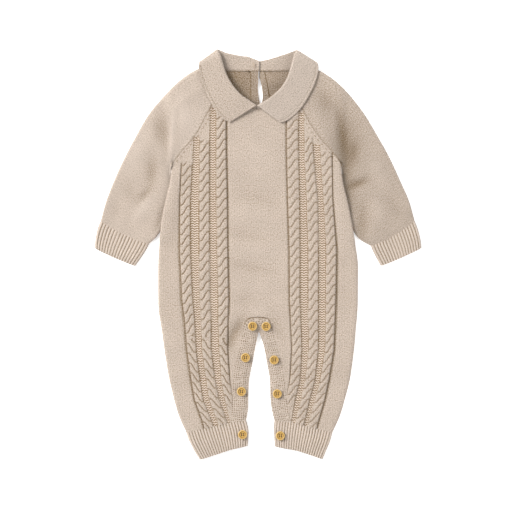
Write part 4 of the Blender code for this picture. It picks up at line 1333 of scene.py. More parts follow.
def fold_spacing(length: float, fold: float, rim: int, middle: int) -> Array:
    """Places from 0 to length with rounder spacing inside the fold at the start."""
    turns = np.linspace(0.0, math.pi / 2, rim, endpoint=False)
    return np.concatenate([fold * (1.0 - np.cos(turns)), np.linspace(fold, length, middle)])


@dataclass(frozen=True)
class NeckShade:
    """Shade inside the neck, deepest on the left where the collar stands in front of the light."""

    foot: Fade = Fade(140.0, 12.0)
    left: Fade = Fade(12.0, -55.0)
    base: float = 0.4
    extra: float = 0.22

    def at(self, x: Array, y: Array) -> Array:
        """Shade at each place."""
        return self.foot.at(y) * (self.base + self.extra * self.left.at(x))


@dataclass
class Panel:
    """Half of the front, or half of the back."""

    side: Side
    layer: Layer
    rows: int = 420
    fold: float = 4.5
    seam_fold: float = 1.5
    least_half: float = 0.1
    seam_width: float = 0.8
    seam_depth: float = 0.55
    decrease_gap: float = 4.6
    decrease_pitch: float = 5.4
    decrease_width: float = 0.9
    decrease_depth: float = 0.62
    decrease_dot: Fade = Fade(0.8, 0.15)
    back_fold_share: float = 0.035
    back_columns: tuple[int, int] = (6, 34)
    border_passes: int = 4
    least_gap: float = 1.2
    strip_columns: tuple[int, ...] = (7, 7, 16, 12, 15, 11, 17, 16)

    def table(self) -> tuple[Array, Array]:
        """Rows from the cuff seam up, and which of them end in a side fold.

        Returns:
            The table of side x, y, inner x, y and sag, and a flag for rows with a side fold.
        """
        legs = smooth_table([row[:4] + (0.0,) for row in LEGS[self.side]])
        trunk = smooth_table(TRUNKS[self.side])
        if self.layer is Layer.FRONT:
            yoke = smooth_table(FRONT_YOKES[self.side])
        else:
            parts = (BACK_YOKES[self.side], BACK_NECKS[self.side])
            yoke = np.vstack([smooth_table(part) for part in parts])
        folded = np.concatenate([np.ones(len(legs) + len(trunk) - 1), np.zeros(len(yoke) - 1)])
        table = np.column_stack([np.vstack([legs, trunk[1:], yoke[1:]]), folded])
        even = even_rows(table, (1, 3), self.rows)
        return even[:, :5], even[:, 5] > 0.5

    def shell(self, name: str) -> GridShell:
        """Grid of the half panel with its relief.

        Args:
            name: Name of the piece.

        Returns:
            The grid.
        """
        table, folded = self.table()
        side_x, side_y, inner_x, inner_y, sag = (column[:, None] for column in table.T)
        width = np.hypot(inner_x - side_x, inner_y - side_y)
        share = self.column_shares(table, width)
        x = side_x + share * (inner_x - side_x)
        y = side_y + share * (inner_y - side_y) - 4.0 * sag * share * (1.0 - share)
        middle, half = SHAPE.body(x, y)
        armpit = TRUNKS[self.side][-1]
        gap = np.where(folded[:, None], share * width, np.hypot(x - armpit[0], y - armpit[1]))
        rise = rim_rise(gap, np.where(folded, self.fold, self.seam_fold)[:, None])
        z = middle + self.layer.value * np.maximum(half * rise, self.least_half)
        marks = {}
        if self.layer is Layer.FRONT:
            relief, painted_shade, ladder, across = CableRelief(self.side).at(x, y)
            depth, shade = creased(BODY_CREASES, x, y)
            z = z + relief - depth * rise
            # Painted shade of the cable group, the raglan seam and its dots and the creases; painted
            # highlights on crease ridges and lobe crowns.
            painted_shade = np.maximum(painted_shade, self.seam_shade(share * width, folded, x, y)) + shade
            marks = {"painted_shade": painted_shade, "ladder": ladder, "across": across}
        else:
            # Painted shade inside the neck.
            marks = {"painted_shade": NeckShade().at(x, y)}
        return GridShell(name, x, y, z, x, y, marks, offset=float(self.layer.value * self.side.value))

    def seam_shade(self, gap: Array, folded: Array, x: Array, y: Array) -> Array:
        """Shade beside the raglan seam, with the small dots of its decreases.

        Args:
            gap: Distance from the outer edge.
            folded: Which rows end in a side fold.
            x: Plan x; not used.
            y: Plan y.

        Returns:
            Shade at each place.
        """
        above = ~folded[:, None]
        line = bell(gap, self.seam_width) * self.seam_depth
        dots = bell(gap - self.decrease_gap, self.decrease_width) * self.decrease_depth
        dots = dots * self.decrease_dot.at(wave(y / self.decrease_pitch))
        return above * np.maximum(line, dots)

    def column_shares(self, table: Array, width: Array) -> Array:
        """Share of the row at each column: round at the fold, dense over the cable group.

        Args:
            table: Rows of the half panel.
            width: Width of each row.

        Returns:
            Share of the way across for each row and column.
        """
        if self.layer is Layer.BACK:
            even = fold_spacing(1.0, self.back_fold_share, *self.back_columns)
            return np.repeat(even[None, :], len(table), axis=0)
        side_x, side_y, inner_x, inner_y = table[:, 0], table[:, 1], table[:, 2], table[:, 3]
        relief = CableRelief(self.side)
        marks = []
        borders = len(self.strip_columns) - 2
        for index in range(borders):
            share = np.full(len(table), 0.5)
            for _ in range(self.border_passes):
                y = side_y + share * (inner_y - side_y)
                share = (relief.borders(y)[index] - side_x) / (inner_x - side_x)
                share = np.clip(share, 0.0, 1.0)
            marks.append(share)
        rim = self.fold / width[:, 0]
        step = self.least_gap / width[:, 0]
        knots = [np.zeros(len(table)), rim]
        for index, share in enumerate(marks):
            low = rim + step * (index + 1)
            high = 1.0 - step * (borders + 1 - index)
            knots.append(np.clip(share, low, high))
        knots.append(np.ones(len(table)))
        parts = []
        for start, end, count in zip(knots, knots[1:], self.strip_columns):
            steps = np.linspace(0.0, 1.0, count, endpoint=False)[None, :]
            if start is knots[0]:
                steps = 1.0 - np.cos(steps * math.pi / 2)
            parts.append(start[:, None] + (end - start)[:, None] * steps)
        parts.append(np.ones((len(table), 1)))
        return np.hstack(parts)


@dataclass
class Tube:
    """Sleeve or sleeve cuff: a folded tube with an upper and a lower layer."""

    side: Side
    rows: Sequence[Sequence[float]]
    count: int
    columns: int = 64
    fold: float = 3.2
    ribs: int = 0
    rib_depth: float = 0.85
    rib_round: float = 0.8
    rib_mean: float = 0.35
    rim_share: float = 0.3
    edge_share: float = 0.045
    edge_columns: int = 6
    mouth_bend: float = 0.8
    mouth_clearance: tuple[float, float] = (0.12, 0.08)
    mouth_fullness: float = 10.0
    cuff_level: float = 2.5
    cuff_half: float = 2.3
    seam_width: float = 1.0
    seam_depth: float = 0.3
    near_shade: float = -0.05
    far_shade: float = 0.09
    beside_shade: float = 0.06
    beside_place: float = 112.0
    beside_width: float = 20.0
    beside_top: Fade = Fade(196.0, -30.0)

    def mouth(self, layer: Layer) -> Array:
        """Line of the sleeve's mouth, from the neck fold to the armpit.

        Args:
            layer: Upper or lower layer.

        Returns:
            Points of the line.
        """
        if layer is Layer.FRONT:
            seam = smooth_table(FRONT_YOKES[self.side], 8)[::-1, :2]
        else:
            seam = np.vstack([smooth_table(BACK_YOKES[self.side], 8), smooth_table(BACK_NECKS[self.side], 8)])
            seam = seam[::-1, :2]
        last = SLEEVES[self.side][-1]
        fold = np.array(last[:2])
        armpit = np.array(last[2:4])
        bend = (fold + seam[0]) / 2 + np.array([-self.side.value * self.mouth_bend, 0.0])
        push = np.array([self.side.value, 1.0]) * self.mouth_clearance
        return np.vstack([fold, bend, seam[:-1] + push, armpit])

    def plan(self, layer: Layer, share: Array) -> tuple[Array, Array, Array]:
        """Plan of one layer.

        Args:
            layer: Upper or lower layer.
            share: Place across from the outer fold to the inner fold, one row each.

        Returns:
            X, y and the distance from the nearer fold.
        """
        table = even_rows(smooth_table(self.rows), (0, 1, 2, 3), self.count)
        fold_x, fold_y, edge_x, edge_y, bow, mouth = (column[:, None] for column in table.T)
        run_x = edge_x - fold_x
        run_y = edge_y - fold_y
        length = np.hypot(run_x, run_y)
        sign = -self.side.value
        x = fold_x + run_x * share + sign * run_y / length * 4.0 * bow * share * (1.0 - share)
        y = fold_y + run_y * share - sign * run_x / length * 4.0 * bow * share * (1.0 - share)
        line = self.mouth(layer)
        steps = np.hypot(*np.diff(line, axis=0).T)
        reach = np.concatenate([[0.0], np.cumsum(steps)]) / steps.sum()
        bend_x = np.interp(share, reach, line[:, 0]) - (line[0, 0] + (line[-1, 0] - line[0, 0]) * share)
        bend_y = np.interp(share, reach, line[:, 1]) - (line[0, 1] + (line[-1, 1] - line[0, 1]) * share)
        gap = np.minimum(share, 1.0 - share) * (length + self.mouth_fullness * mouth)
        return x + mouth * bend_x, y + mouth * bend_y, gap

    def shell(self, name: str) -> GridShell:
        """Grid of the whole tube, closed round.

        Args:
            name: Name of the piece.

        Returns:
            The grid.
        """
        rim = 0.5 * (1.0 - np.cos(np.linspace(0.0, math.pi, self.columns)))
        even = np.linspace(0.0, 1.0, self.columns)
        mixed = self.rim_share * rim + (1.0 - self.rim_share) * even
        quarter = np.linspace(0.0, math.pi / 2, self.edge_columns, endpoint=False)
        near = self.edge_share * (1.0 - np.cos(quarter))
        middle = mixed[(mixed > self.edge_share) & (mixed < 1.0 - self.edge_share)]
        share = np.concatenate([near, middle, 1.0 - near[::-1]])[None, :]
        parts = []
        for layer in Layer:
            x, y, gap = self.plan(layer, share)
            level, half = self.levels(x, y)
            rise = rim_rise(gap, self.fold)
            z = level + layer.value * half * rise
            rib, shade = self.rib_relief(share, x.shape)
            # Painted shade between the ribs; on a sleeve's upper layer also along the raglan seam, in the
            # creases and away from the key light, with painted light on the left sleeve and on crease ridges.
            painted_shade = shade
            if layer is Layer.FRONT and not self.ribs:
                depth, crease_shade = creased(SLEEVE_CREASES, x, y)
                z = z - depth * rise
                painted_shade = np.maximum(shade, self.seam_shade(x, y)) + crease_shade + self.away_shade(x, y)
            z = z + layer.value * rib * rise
            parts.append((x, y, z, painted_shade))
        upper, lower = parts
        joined = [np.hstack([up, down[:, -2::-1]]) for up, down in zip(upper, lower)]
        x, y, z, painted_shade = joined
        turn = np.broadcast_to(lengths_along(x, y, 1).mean(axis=0)[None, :], x.shape)
        along = lengths_along(x, y, 0)
        return GridShell(name, x, y, z, turn, along, {"painted_shade": painted_shade}, ring=True)

    def levels(self, x: Array, y: Array) -> tuple[Array, Array]:
        """Height of the folds and half the thickness.

        Args:
            x: Plan x.
            y: Plan y.

        Returns:
            Height of the folds, and half the thickness.
        """
        if self.ribs:
            return np.full_like(x, self.cuff_level), np.full_like(x, self.cuff_half)
        return SHAPE.sleeve(x, y)

    def rib_relief(self, share: Array, shape: tuple[int, int]) -> tuple[Array, Array]:
        """Relief and shade of the ribs of a cuff.

        Args:
            share: Place across from fold to fold.
            shape: Shape of the grid.

        Returns:
            Relief in millimetres, and shade.
        """
        if not self.ribs:
            return np.zeros(shape), np.zeros(shape)
        lobe = wave(share * self.ribs) ** self.rib_round
        relief = np.broadcast_to(self.rib_depth * (lobe - self.rib_mean), shape)
        return relief, np.broadcast_to(rib_shade(lobe), shape)

    def away_shade(self, x: Array, y: Array) -> Array:
        """Shade of the sleeve that falls away from the light, strongest beside the body's fold.

        Args:
            x: Plan x.
            y: Plan y.

        Returns:
            Shade at each place; below 0 is lighter.
        """
        if self.side is Side.LEFT:
            return np.full_like(x, self.near_shade)
        beside = bell(np.abs(x) - self.beside_place, self.beside_width) * self.beside_top.at(y)
        return self.far_shade + self.beside_shade * beside

    def seam_shade(self, x: Array, y: Array) -> Array:
        """Shade along the raglan seam of the upper layer.

        Args:
            x: Plan x.
            y: Plan y.

        Returns:
            Shade at each place.
        """
        line = self.mouth(Layer.FRONT)[2:]
        gap = np.min(np.hypot(x[..., None] - line[:, 0], y[..., None] - line[:, 1]), axis=-1)
        return bell(gap, self.seam_width) * self.seam_depth


@dataclass
class LegCuff:
    """Ribbed leg cuff, folded round the side and open at the inner leg."""

    side: Side
    count: int = 34
    fold: float = 4.5
    ribs: int = 21
    rib_depth: float = 0.9
    rib_round: float = 0.8
    rib_mean: float = 0.3
    columns: int = 170
    edge_share: float = 0.05
    edge_columns: int = 7
    half: float = 2.9
    middle: float = 3.2
    end_drop: float = 1.4
    end_run: float = 8.0
    length: float = 34.0

    def shell(self, name: str) -> GridShell:
        """Grid of the cuff from the front's inner end round to the back's.

        Args:
            name: Name of the piece.

        Returns:
            The grid.
        """
        table = even_rows(smooth_table(LEG_CUFFS[self.side], 16), (1, 3, 5), self.count)
        edge_x, edge_y, knee_x, knee_y, side_x, side_y = (column[:, None] for column in table.T)
        quarter = np.linspace(0.0, math.pi / 2, self.edge_columns, endpoint=False)
        near = self.edge_share * (1.0 - np.cos(quarter))
        share = np.concatenate([near, np.linspace(self.edge_share, 1.0, self.columns)])[None, :]
        first = np.hypot(knee_x - side_x, knee_y - side_y)
        whole = first + np.hypot(edge_x - knee_x, edge_y - knee_y)
        reach = share * whole
        outer = np.clip(reach / first, 0.0, 1.0)
        inner = np.clip((reach - first) / (whole - first), 0.0, 1.0)
        x = side_x + outer * (knee_x - side_x) + inner * (edge_x - knee_x)
        y = side_y + outer * (knee_y - side_y) + inner * (edge_y - knee_y)
        rise = rim_rise(reach, self.fold)
        lobe = wave(share * self.ribs) ** self.rib_round
        drop = self.end_drop * ease(1.0 - (whole - reach) / self.end_run)
        swell = (self.half + self.rib_depth * (lobe - self.rib_mean)) * rise
        parts = (self.middle + swell - drop, self.middle - swell)
        joined_x = np.hstack([x[:, ::-1], x[:, 1:]])
        joined_y = np.hstack([y[:, ::-1], y[:, 1:]])
        joined_z = np.hstack([parts[0][:, ::-1], parts[1][:, 1:]])
        # Painted shade between the ribs and a little painted light on their tops.
        shade = np.broadcast_to(rib_shade(lobe), x.shape)
        painted_shade = np.hstack([shade[:, ::-1], shade[:, 1:]])
        turn = np.hstack([-reach[:, ::-1], reach[:, 1:]]).mean(axis=0)[None, :]
        along = np.broadcast_to(np.linspace(0.0, self.length, self.count)[:, None], joined_x.shape)
        turn = np.broadcast_to(turn, joined_x.shape)
        return GridShell(name, joined_x, joined_y, joined_z, turn, along, {"painted_shade": painted_shade},
                         offset=float(self.side.value))


@dataclass
class Placket:
    """Textured band along both inner legs, arched over the crotch."""

    layer: Layer
    rows: int = 300
    columns: int = 22
    front_height: float = 6.5
    back_height: float = 2.0
    edge_drop: float = 1.4
    edge_run: float = 8.0
    edge_groove: float = 0.45
    edge_width: float = 1.0
    crotch_y: float = -82.0
    crotch_reach: float = 11.0
    seam_width: float = 1.0
    seam_depth: float = 0.15
    seam_shade: float = 0.03
    crotch_width: float = 0.8
    crotch_depth: float = 0.9
    crotch_shade: float = 0.75

    def shell(self, name: str) -> GridShell:
        """Grid of the band, from the left cuff round to the right one.

        Args:
            name: Name of the piece.

        Returns:
            The grid.
        """
        left = smooth_table(LEGS[Side.LEFT], 16)
        right = smooth_table(LEGS[Side.RIGHT], 16)[::-1]
        table = even_rows(np.vstack([left, right[1:]]), (2, 3, 4, 5), self.rows)
        share = np.linspace(0.0, 1.0, self.columns)[None, :]
        seam_x, seam_y, edge_x, edge_y = (column[:, None] for column in table.T[2:])
        x = seam_x + share * (edge_x - seam_x)
        y = seam_y + share * (edge_y - seam_y)
        width = np.hypot(edge_x - seam_x, edge_y - seam_y)
        gap = share * width
        crotch = bell(y - self.crotch_y, self.crotch_reach)
        seam = bell(gap, self.seam_width + self.crotch_width * crotch)
        if self.layer is Layer.FRONT:
            drop = self.edge_drop * (1.0 - ease((width - gap) / self.edge_run))
            groove = self.edge_groove * bell(width - gap, self.edge_width)
            z = self.front_height - drop - seam * (self.seam_depth + self.crotch_depth * crotch) - groove
        else:
            z = np.full_like(x, self.back_height)
        # Painted shade along the seam, deepest at the crotch arch.
        painted_shade = seam * (self.seam_shade + self.crotch_shade * crotch)
        length = np.broadcast_to(lengths_along(x, y, 0).mean(axis=1)[:, None], x.shape)
        marks = {"painted_shade": painted_shade, "moss": np.ones_like(x)}
        return GridShell(name, x, y, z, gap, length, marks)


@dataclass
class SlitBand:
    """Band along one edge of the back neck slit."""

    side: Side
    columns: int = 14
    height: float = 2.0
    lap: float = 1.6
    lap_foot: Fade = Fade(222.0, 15.0)
    seam_share: float = 0.1
    seam_depth: float = 0.5
    near_line: float = 0.5
    far_line: float = 1.0
    neck_part: float = 0.9

    def shell(self, name: str) -> GridShell:
        """Grid of the band from its lower end to the neck.

        Args:
            name: Name of the piece.

        Returns:
            The grid.
        """
        table = smooth_table(SLIT_BANDS[self.side], 10)
        outer_y, edge_y, outer_x, edge_x = (column[:, None] for column in table.T)
        share = np.linspace(0.0, 1.0, self.columns)[None, :]
        x = outer_x + share * (edge_x - outer_x)
        y = outer_y + share * (edge_y - outer_y)
        base = SHAPE.neck_lift * SHAPE.neck(x, y)
        if self.side is Side.LEFT:
            base = base + self.lap * self.lap_foot.at(y)
        z = base + self.height - self.seam_depth * bell(share, self.seam_share)
        # Painted shade of the seam line, and the painted shade inside the neck.
        line = self.near_line if self.side is Side.LEFT else self.far_line
        painted_shade = line * bell(share, self.seam_share) + self.neck_part * NeckShade().at(x, y)
        return GridShell(name, x, y, z, x, y, {"painted_shade": painted_shade}, offset=float(self.side.value))


@dataclass
class CollarLeaf:
    """One leaf of the collar: stand, roll and fall, from centre front to centre back."""

    side: Side
    sections: int = 150
    points: int = 56
    corner_lift: float = 2.4
    corner: Fade = Fade(226.0, 24.0)
    roll_radius: float = 2.2
    roll_bulge: float = 0.2
    fall_shares: tuple[float, float] = (0.33, 0.67)
    thickness: float = 1.7
    top: Fade = Fade(7.0, 1.5)
    edge_in: float = 1.2
    edge_width: float = 0.9
    edge_lift: float = 0.35
    stitch_in: float = 3.4
    stitch_width: float = 0.8
    stitch_depth: float = 0.25
    stitch_shade: float = 0.3
    seam_width: float = 1.5
    seam_shade: float = 0.55
    # Painted light on the top of the right leaf.
    lit: float = 0.14

    def shell(self, name: str) -> GridShell:
        """Grid of the leaf's middle surface.

        Args:
            name: Name of the piece.

        Returns:
            The grid.
        """
        table = even_rows(smooth_table(COLLARS[self.side], 16), (3, 4, 7, 8), self.sections)
        seam = table[:, 0:3]
        roll = np.column_stack([table[:, 3:5], (table[:, 5] + table[:, 6]) / 2])
        outer = table[:, 7:10]
        down_stand = self.unit(seam[:, :2] - roll[:, :2]) * self.roll_radius
        down_fall = self.unit(outer[:, :2] - roll[:, :2]) * self.roll_radius
        stand_top = np.column_stack([roll[:, :2] + down_stand, table[:, 5]])
        fall_top = np.column_stack([roll[:, :2] + down_fall, table[:, 6]])
        roll[:, :2] += (down_stand + down_fall) * self.roll_bulge
        for line in (stand_top, roll, fall_top, outer):
            line[:, 1] += self.corner_lift * self.corner.at(line[:, 1])
        fall = [fall_top + (outer - fall_top) * share for share in self.fall_shares]
        middle = (seam + stand_top) / 2
        knots = np.stack([seam, middle, stand_top, roll, fall_top, *fall, outer], axis=1)
        fine = np.stack([even_rows(smooth_table(section, 12), (0, 1, 2), self.points) for section in knots])
        x, y, z = fine[..., 0], fine[..., 1], fine[..., 2]
        steps = np.linalg.norm(np.diff(fine, axis=1, prepend=fine[:, :1]), axis=-1)
        across = np.cumsum(steps, axis=1)
        left_over = across[:, -1:] - across
        runs = np.linalg.norm(np.diff(fine, axis=0, prepend=fine[:1]), axis=-1)
        along = np.broadcast_to(np.cumsum(runs.mean(axis=1))[:, None], x.shape)
        edge = bell(left_over - self.edge_in, self.edge_width)
        inside_edge = bell(left_over - self.stitch_in, self.stitch_width)
        top = self.top.at(z)
        z = z + top * (self.edge_lift * edge - self.stitch_depth * inside_edge)
        # Painted shade along the stitch line inside the edge and along the neckline seam.
        painted_shade = self.stitch_shade * inside_edge * top + self.seam_shade * bell(across, self.seam_width)
        # Painted light: the right leaf's top is made lighter.
        if self.side is Side.RIGHT:
            painted_shade = painted_shade - self.lit * top
        return GridShell(name, x, y, z, along, across, {"painted_shade": painted_shade},
                         thickness=self.thickness, offset=0.0)

    @staticmethod
    def unit(vectors: Array) -> Array:
        """Vectors of length one."""
        return vectors / np.linalg.norm(vectors, axis=1, keepdims=True)


@dataclass(frozen=True)
class Strand:
    """Short strand of thread that bows up between its two ends."""

    start: Vector
    end: Vector
    bow: float
    radius: float
    fullness: float = 1.0
    segments: int = 10

    def roll(self, mesh: bmesh.types.BMesh) -> None:
        """Rolls a fresh grid into the strand and closes its ends.

        Args:
            mesh: Mesh that the strand joins.
        """
        run = self.end - self.start
        aside = Vector((-run.y, run.x, 0.0)).normalized()
        made = bmesh.ops.create_grid(mesh, x_segments=self.segments, y_segments=6, size=0.5)
        for vert in made["verts"]:
            along = vert.co.x + 0.5
            turn = math.tau * (vert.co.y + 0.5)
            place = self.start + run * along + aside * math.cos(turn) * self.radius
            place.z += self.bow * max(math.sin(math.pi * along), 0.0) ** self.fullness
            place.z += math.sin(turn) * self.radius
            vert.co = (place + Vector((0.0, ORIGIN_SHIFT_Y, 0.0))) * MM
        bmesh.ops.remove_doubles(mesh, verts=made["verts"], dist=WELD)

    @staticmethod
    def finish(mesh: bmesh.types.BMesh, name: str, material: bpy.types.Material) -> bpy.types.Object:
        """Closes the rolled strands and makes them one piece.

        Args:
            mesh: Mesh that holds the strands.
            name: Name of the piece.
            material: Finish of the thread.

        Returns:
            The piece.
        """
        bmesh.ops.holes_fill(mesh, edges=mesh.edges[:], sides=8)
        bmesh.ops.recalc_face_normals(mesh, faces=mesh.faces[:])
        item = as_object(mesh, name)
        item.data.materials.append(material)
        item.data.shade_smooth()
        return item


@dataclass
class Button:
    """Turned wooden button with a raised rim, four holes and its thread."""

    name: str
    centre: tuple[float, float]
    base: float = 7.0
    radius: float = 6.0
    height: float = 2.6
    hole_radius: float = 0.95
    hole_offset: float = 1.95
    face_rise: float = 0.62
    strand_sink: float = 0.9
    strand_gap: float = 0.32
    strand_bow: float = 1.15
    strand_radius: float = 0.3
    segments: int = 48

    def profile(self) -> list[tuple[float, float]]:
        """Outline from the middle of the underside to the middle of the face.

        Returns:
            Distance from the axis and height of each point.
        """
        shares = ((0.0, 0.0), (0.8, 0.0), (0.93, 0.08), (0.99, 0.3), (1.0, 0.55), (0.97, 0.8), (0.9, 0.96),
                  (0.8, 1.0), (0.72, 0.93), (0.66, 0.74), (0.6, 0.66), (0.45, 0.63), (0.0, self.face_rise))
        return [(self.radius * reach, self.height * rise) for reach, rise in shares]

    def build(self, wood: bpy.types.Material) -> bpy.types.Object:
        """Spins the profile and drills the holes.

        Args:
            wood: Finish of the button.

        Returns:
            The button.
        """
        mesh = bmesh.new()
        points = [mesh.verts.new((reach * MM, 0.0, rise * MM)) for reach, rise in self.profile()]
        edges = [mesh.edges.new(pair) for pair in zip(points, points[1:])]
        bmesh.ops.spin(mesh, geom=points + edges, cent=(0, 0, 0), axis=(0, 0, 1), angle=math.tau,
                       steps=self.segments, use_merge=True)
        bmesh.ops.remove_doubles(mesh, verts=mesh.verts[:], dist=WELD)
        bmesh.ops.recalc_face_normals(mesh, faces=mesh.faces[:])
        body = as_object(mesh, self.name + "_wood")
        drills = bmesh.new()
        for quarter in range(4):
            made = bmesh.ops.create_cone(drills, cap_ends=True, segments=20, radius1=self.hole_radius * MM,
                                         radius2=self.hole_radius * MM, depth=4 * self.height * MM)
            bmesh.ops.translate(drills, verts=made["verts"], vec=self.hole(quarter) * MM)
        cutter = as_object(drills, self.name + "_drills")
        cut = body.modifiers.new("holes", "BOOLEAN")
        cut.operation = "DIFFERENCE"
        cut.object = cutter
        data = bpy.data.meshes.new_from_object(body.evaluated_get(bpy.context.evaluated_depsgraph_get()))
        body.modifiers.clear()
        body.data = data
        bpy.data.objects.remove(cutter)
        self.dress(data, wood)
        return body

    def hole(self, quarter: int) -> Vector:
        """Middle of one hole, measured from the button's axis."""
        turn = math.radians(45.0 + 90.0 * quarter)
        return Vector((math.cos(turn), math.sin(turn), 0.0)) * self.hole_offset

    def dress(self, data: bpy.types.Mesh, wood: bpy.types.Material) -> None:
        """Sets the button's place, its radial UV map and its finish.

        Args:
            data: Mesh of the button, still on its own axis.
            wood: Finish of the button.
        """
        layer = data.uv_layers.get("knit") or data.uv_layers.new(name="knit")
        corners = np.empty(len(data.loops), dtype=np.int32)
        data.loops.foreach_get("vertex_index", corners)
        flat = np.empty(len(data.vertices) * 3, dtype=np.float32)
        data.vertices.foreach_get("co", flat)
        place = flat.reshape(-1, 3)
        layer.uv.foreach_set("vector", (place[corners, :2] / (self.radius * MM)).ravel())
        place += np.array([self.centre[0], self.centre[1] + ORIGIN_SHIFT_Y, self.base]) * MM
        data.vertices.foreach_set("co", place.ravel())
        data.materials.clear()
        data.materials.append(wood)
        data.shade_smooth()
        data.set_sharp_from_angle(angle=math.radians(50.0))

    def thread(self, material: bpy.types.Material) -> bpy.types.Object:
        """Two strands between the holes, on the face of the button.

        Args:
            material: Finish of the thread.

        Returns:
            The strands as one piece.
        """
        mesh = bmesh.new()
        middle = Vector((*self.centre, self.base + self.height * self.face_rise - self.strand_sink))
        for start, end in ((0, 3), (1, 2)):
            first = middle + self.hole(start)
            last = middle + self.hole(end)
            run = (last - first).normalized()
            for lift in (-self.strand_gap, self.strand_gap):
                aside = Vector((-run.y, run.x, 0.0)) * lift
                strand = Strand(first + aside, last + aside, self.strand_bow, self.strand_radius,
                                fullness=0.35, segments=8)
                strand.roll(mesh)
        return Strand.finish(mesh, self.name + "_thread", material)


@dataclass
class NeckStitches:
    """Few strands that hold the back of the collar together over the neck button."""

    name: str = "neck_stitches"
    strands: tuple[tuple[float, float, float, float], ...] = (
        (-7.2, 250.5, -5.6, 241.5),
        (-5.9, 251.0, -4.4, 241.0),
        (-4.6, 250.0, -3.4, 242.0),
        (-8.0, 247.5, -2.6, 245.6),
        (-8.2, 244.8, -2.8, 243.4),
    )
    base: float = 5.6
    bow: float = 1.2
    radius: float = 0.5

    def build(self, material: bpy.types.Material) -> bpy.types.Object:
        """Bows every strand over the cloth.

        Args:
            material: Finish of the thread.

        Returns:
            The strands as one piece.
        """
        mesh = bmesh.new()
        for start_x, start_y, end_x, end_y in self.strands:
            start = Vector((start_x, start_y, self.base))
            end = Vector((end_x, end_y, self.base))
            Strand(start, end, self.bow, self.radius).roll(mesh)
        return Strand.finish(mesh, self.name, material)


@dataclass(frozen=True)
class SoftBox:
    """Square area light that faces the garment, in metres and watts."""

    name: str
    place: tuple[float, float, float]
    size: float
    power: float


@dataclass
class Studio:
    """Floor, light and camera, in metres."""

    picture_width: float = 0.6656
    distance: float = 2.2
    sensor: float = 36.0
    aim: tuple[float, float] = (-0.0026, -0.00045)
    garment_top: float = 0.006
    floor_half: float = 6.0
    floor_drop: float = 0.0002
    surround: float = 0.46
    boxes: tuple[SoftBox, ...] = (
        SoftBox("key", (-3.4, 1.9, 2.9), 2.2, 388.0),
        SoftBox("fill", (2.4, -0.9, 1.8), 1.8, 54.0),
    )

    def build(self) -> None:
        """Sets up the studio."""
        self.floor()
        self.lights()
        self.camera()

    def floor(self) -> None:
        """Plain pale floor just under the garment."""
        mesh = bmesh.new()
        bmesh.ops.create_grid(mesh, x_segments=1, y_segments=1, size=self.floor_half)
        bmesh.ops.translate(mesh, verts=mesh.verts[:], vec=(0, 0, -self.floor_drop))
        floor = as_object(mesh, "floor")
        floor.data.materials.append(FloorFinish().build())

    def lights(self) -> None:
        """Soft key light from the upper left, and an even surround."""
        world = bpy.data.worlds.new("studio")
        world.use_nodes = True
        background = world.node_tree.nodes["Background"]
        background.inputs["Color"].default_value = (1.0, 1.0, 1.0, 1.0)
        background.inputs["Strength"].default_value = self.surround
        bpy.context.scene.world = world
        for box in self.boxes:
            light = bpy.data.lights.new(box.name, "AREA")
            light.size = box.size
            light.energy = box.power
            lamp = bpy.data.objects.new(box.name, light)
            lamp.location = box.place
            lamp.rotation_euler = (-Vector(box.place)).to_track_quat("-Z", "Y").to_euler()
            bpy.context.scene.collection.objects.link(lamp)

    def camera(self) -> None:
        """Camera straight above the garment."""
        lens = bpy.data.cameras.new("camera")
        lens.sensor_width = self.sensor
        lens.lens = self.sensor * self.distance / self.picture_width
        lens.clip_end = 20.0
        camera = bpy.data.objects.new("camera", lens)
        camera.location = (*self.aim, self.distance + self.garment_top)
        bpy.context.scene.collection.objects.link(camera)
        bpy.context.scene.camera = camera
        bpy.context.scene.view_settings.view_transform = "Standard"
        bpy.context.scene.view_settings.look = "None"


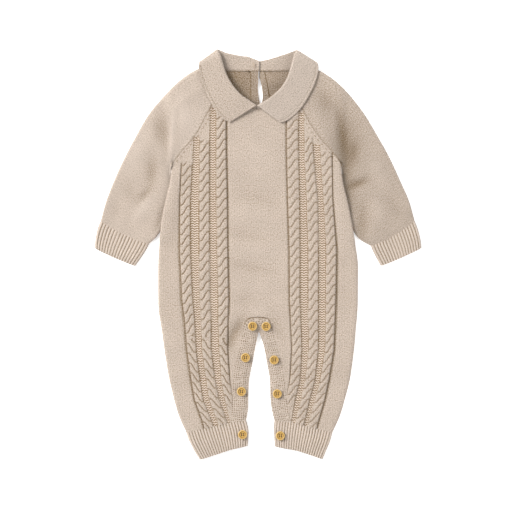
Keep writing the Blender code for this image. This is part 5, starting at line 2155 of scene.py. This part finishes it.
@dataclass
class Romper:
    """The whole garment: builds and dresses every piece."""

    knit: bpy.types.Material = field(init=False)
    rib: bpy.types.Material = field(init=False)
    moss: bpy.types.Material = field(init=False)
    collar: bpy.types.Material = field(init=False)
    wood: bpy.types.Material = field(init=False)
    thread: bpy.types.Material = field(init=False)
    yarn: bpy.types.Material = field(init=False)

    def __post_init__(self) -> None:
        """Makes the finishes."""
        self.knit = KnitFinish("cotton_stockinette").build()
        self.rib = KnitFinish(
            "cotton_rib", wale=1.8, course=1.25, stitch_shade=0.2, fleck=1.2, base_shade=0.1).build()
        self.moss = KnitFinish("cotton_moss_band", stitch_shade=0.26, base_shade=0.11, dots=1.5).build()
        self.collar = KnitFinish("cotton_collar_rib", wale=1.3, course=1.3, fleck=2.3).build()
        self.wood = WoodFinish().build()
        self.thread = ThreadFinish().build()
        self.yarn = ThreadFinish("cotton_thread", (0.34, 0.27, 0.21)).build()

    def place(self, piece: bpy.types.Object, nodes: Sequence[str], slot: str, cut: Cut | None = None) -> None:
        """Parents a piece to the root body, hides the CAD nodes it stands for, and logs its face count.

        Args:
            piece: The piece.
            nodes: CAD nodes it stands for.
            slot: Material slot; not used.
            cut: Flat cut, for cloth; not used.
        """
        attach(piece, "root")
        if nodes:
            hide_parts(*nodes)
        LOG.info("%s: %d faces", piece.name, len(piece.data.polygons))

    def build(self) -> None:
        """Builds every piece in order."""
        for side in Side:
            self.body_half(side)
            self.arm(side)
            self.leg_and_neck(side)
        for layer in Layer:
            word = layer.name.lower()
            band = Placket(layer).shell("placket_" + word).build(self.moss)
            self.place(band, [word + "_placket"], "knit", CUTS["placket"])
        for name, centre in BUTTONS.items():
            button = Button(name, centre)
            self.place(button.build(self.wood), [name], "button")
            self.place(button.thread(self.thread), [], "button")
        self.place(NeckStitches().build(self.yarn), [], "knit")

    def body_half(self, side: Side) -> None:
        """Builds half of the front and half of the back."""
        front = Panel(side, Layer.FRONT).shell("front_" + side.word).build(self.knit)
        self.place(front, ["front_panel"], "knit", CUTS["front"])
        back = Panel(side, Layer.BACK, rows=150).shell("back_" + side.word).build(self.knit)
        self.place(back, ["back_panel"], "knit", CUTS["back"])

    def arm(self, side: Side) -> None:
        """Builds a sleeve and its cuff."""
        sleeve = Tube(side, SLEEVES[side], 190).shell("sleeve_visual_" + side.word).build(self.knit)
        self.place(sleeve, ["sleeve_" + side.word], "knit", CUTS["sleeve"])
        cuff = Tube(side, SLEEVE_CUFFS[side], 26, columns=150, ribs=16).shell("sleeve_rib_" + side.word)
        self.place(cuff.build(self.rib), ["sleeve_cuff_" + side.word], "rib", CUTS["sleeve cuff"])

    def leg_and_neck(self, side: Side) -> None:
        """Builds a leg cuff, a collar leaf and a band of the neck slit."""
        leg = LegCuff(side).shell("leg_rib_" + side.word).build(self.rib)
        self.place(leg, ["leg_cuff_" + side.word], "rib", CUTS["leg cuff"])
        leaf = CollarLeaf(side).shell("collar_leaf_" + side.word).build(self.collar)
        self.place(leaf, ["collar_" + side.word], "knit", CUTS["collar leaf"])
        band = SlitBand(side).shell("slit_edge_" + side.word).build(self.knit)
        self.place(band, ["slit_band_" + side.word], "knit", CUTS["slit band"])


def main() -> None:
    """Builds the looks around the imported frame."""
    logging.basicConfig(level=logging.INFO, format="%(message)s")
    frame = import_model()
    LOG.info("frame with %d nodes", len(frame["nodes"]))
    Romper().build()
    neck = frame["nodes"]["neck_button"]
    neck.data.materials.clear()
    neck.data.materials.append(bpy.data.materials["button_wood"])
    Studio().build()


if __name__ == "__main__":
    main()
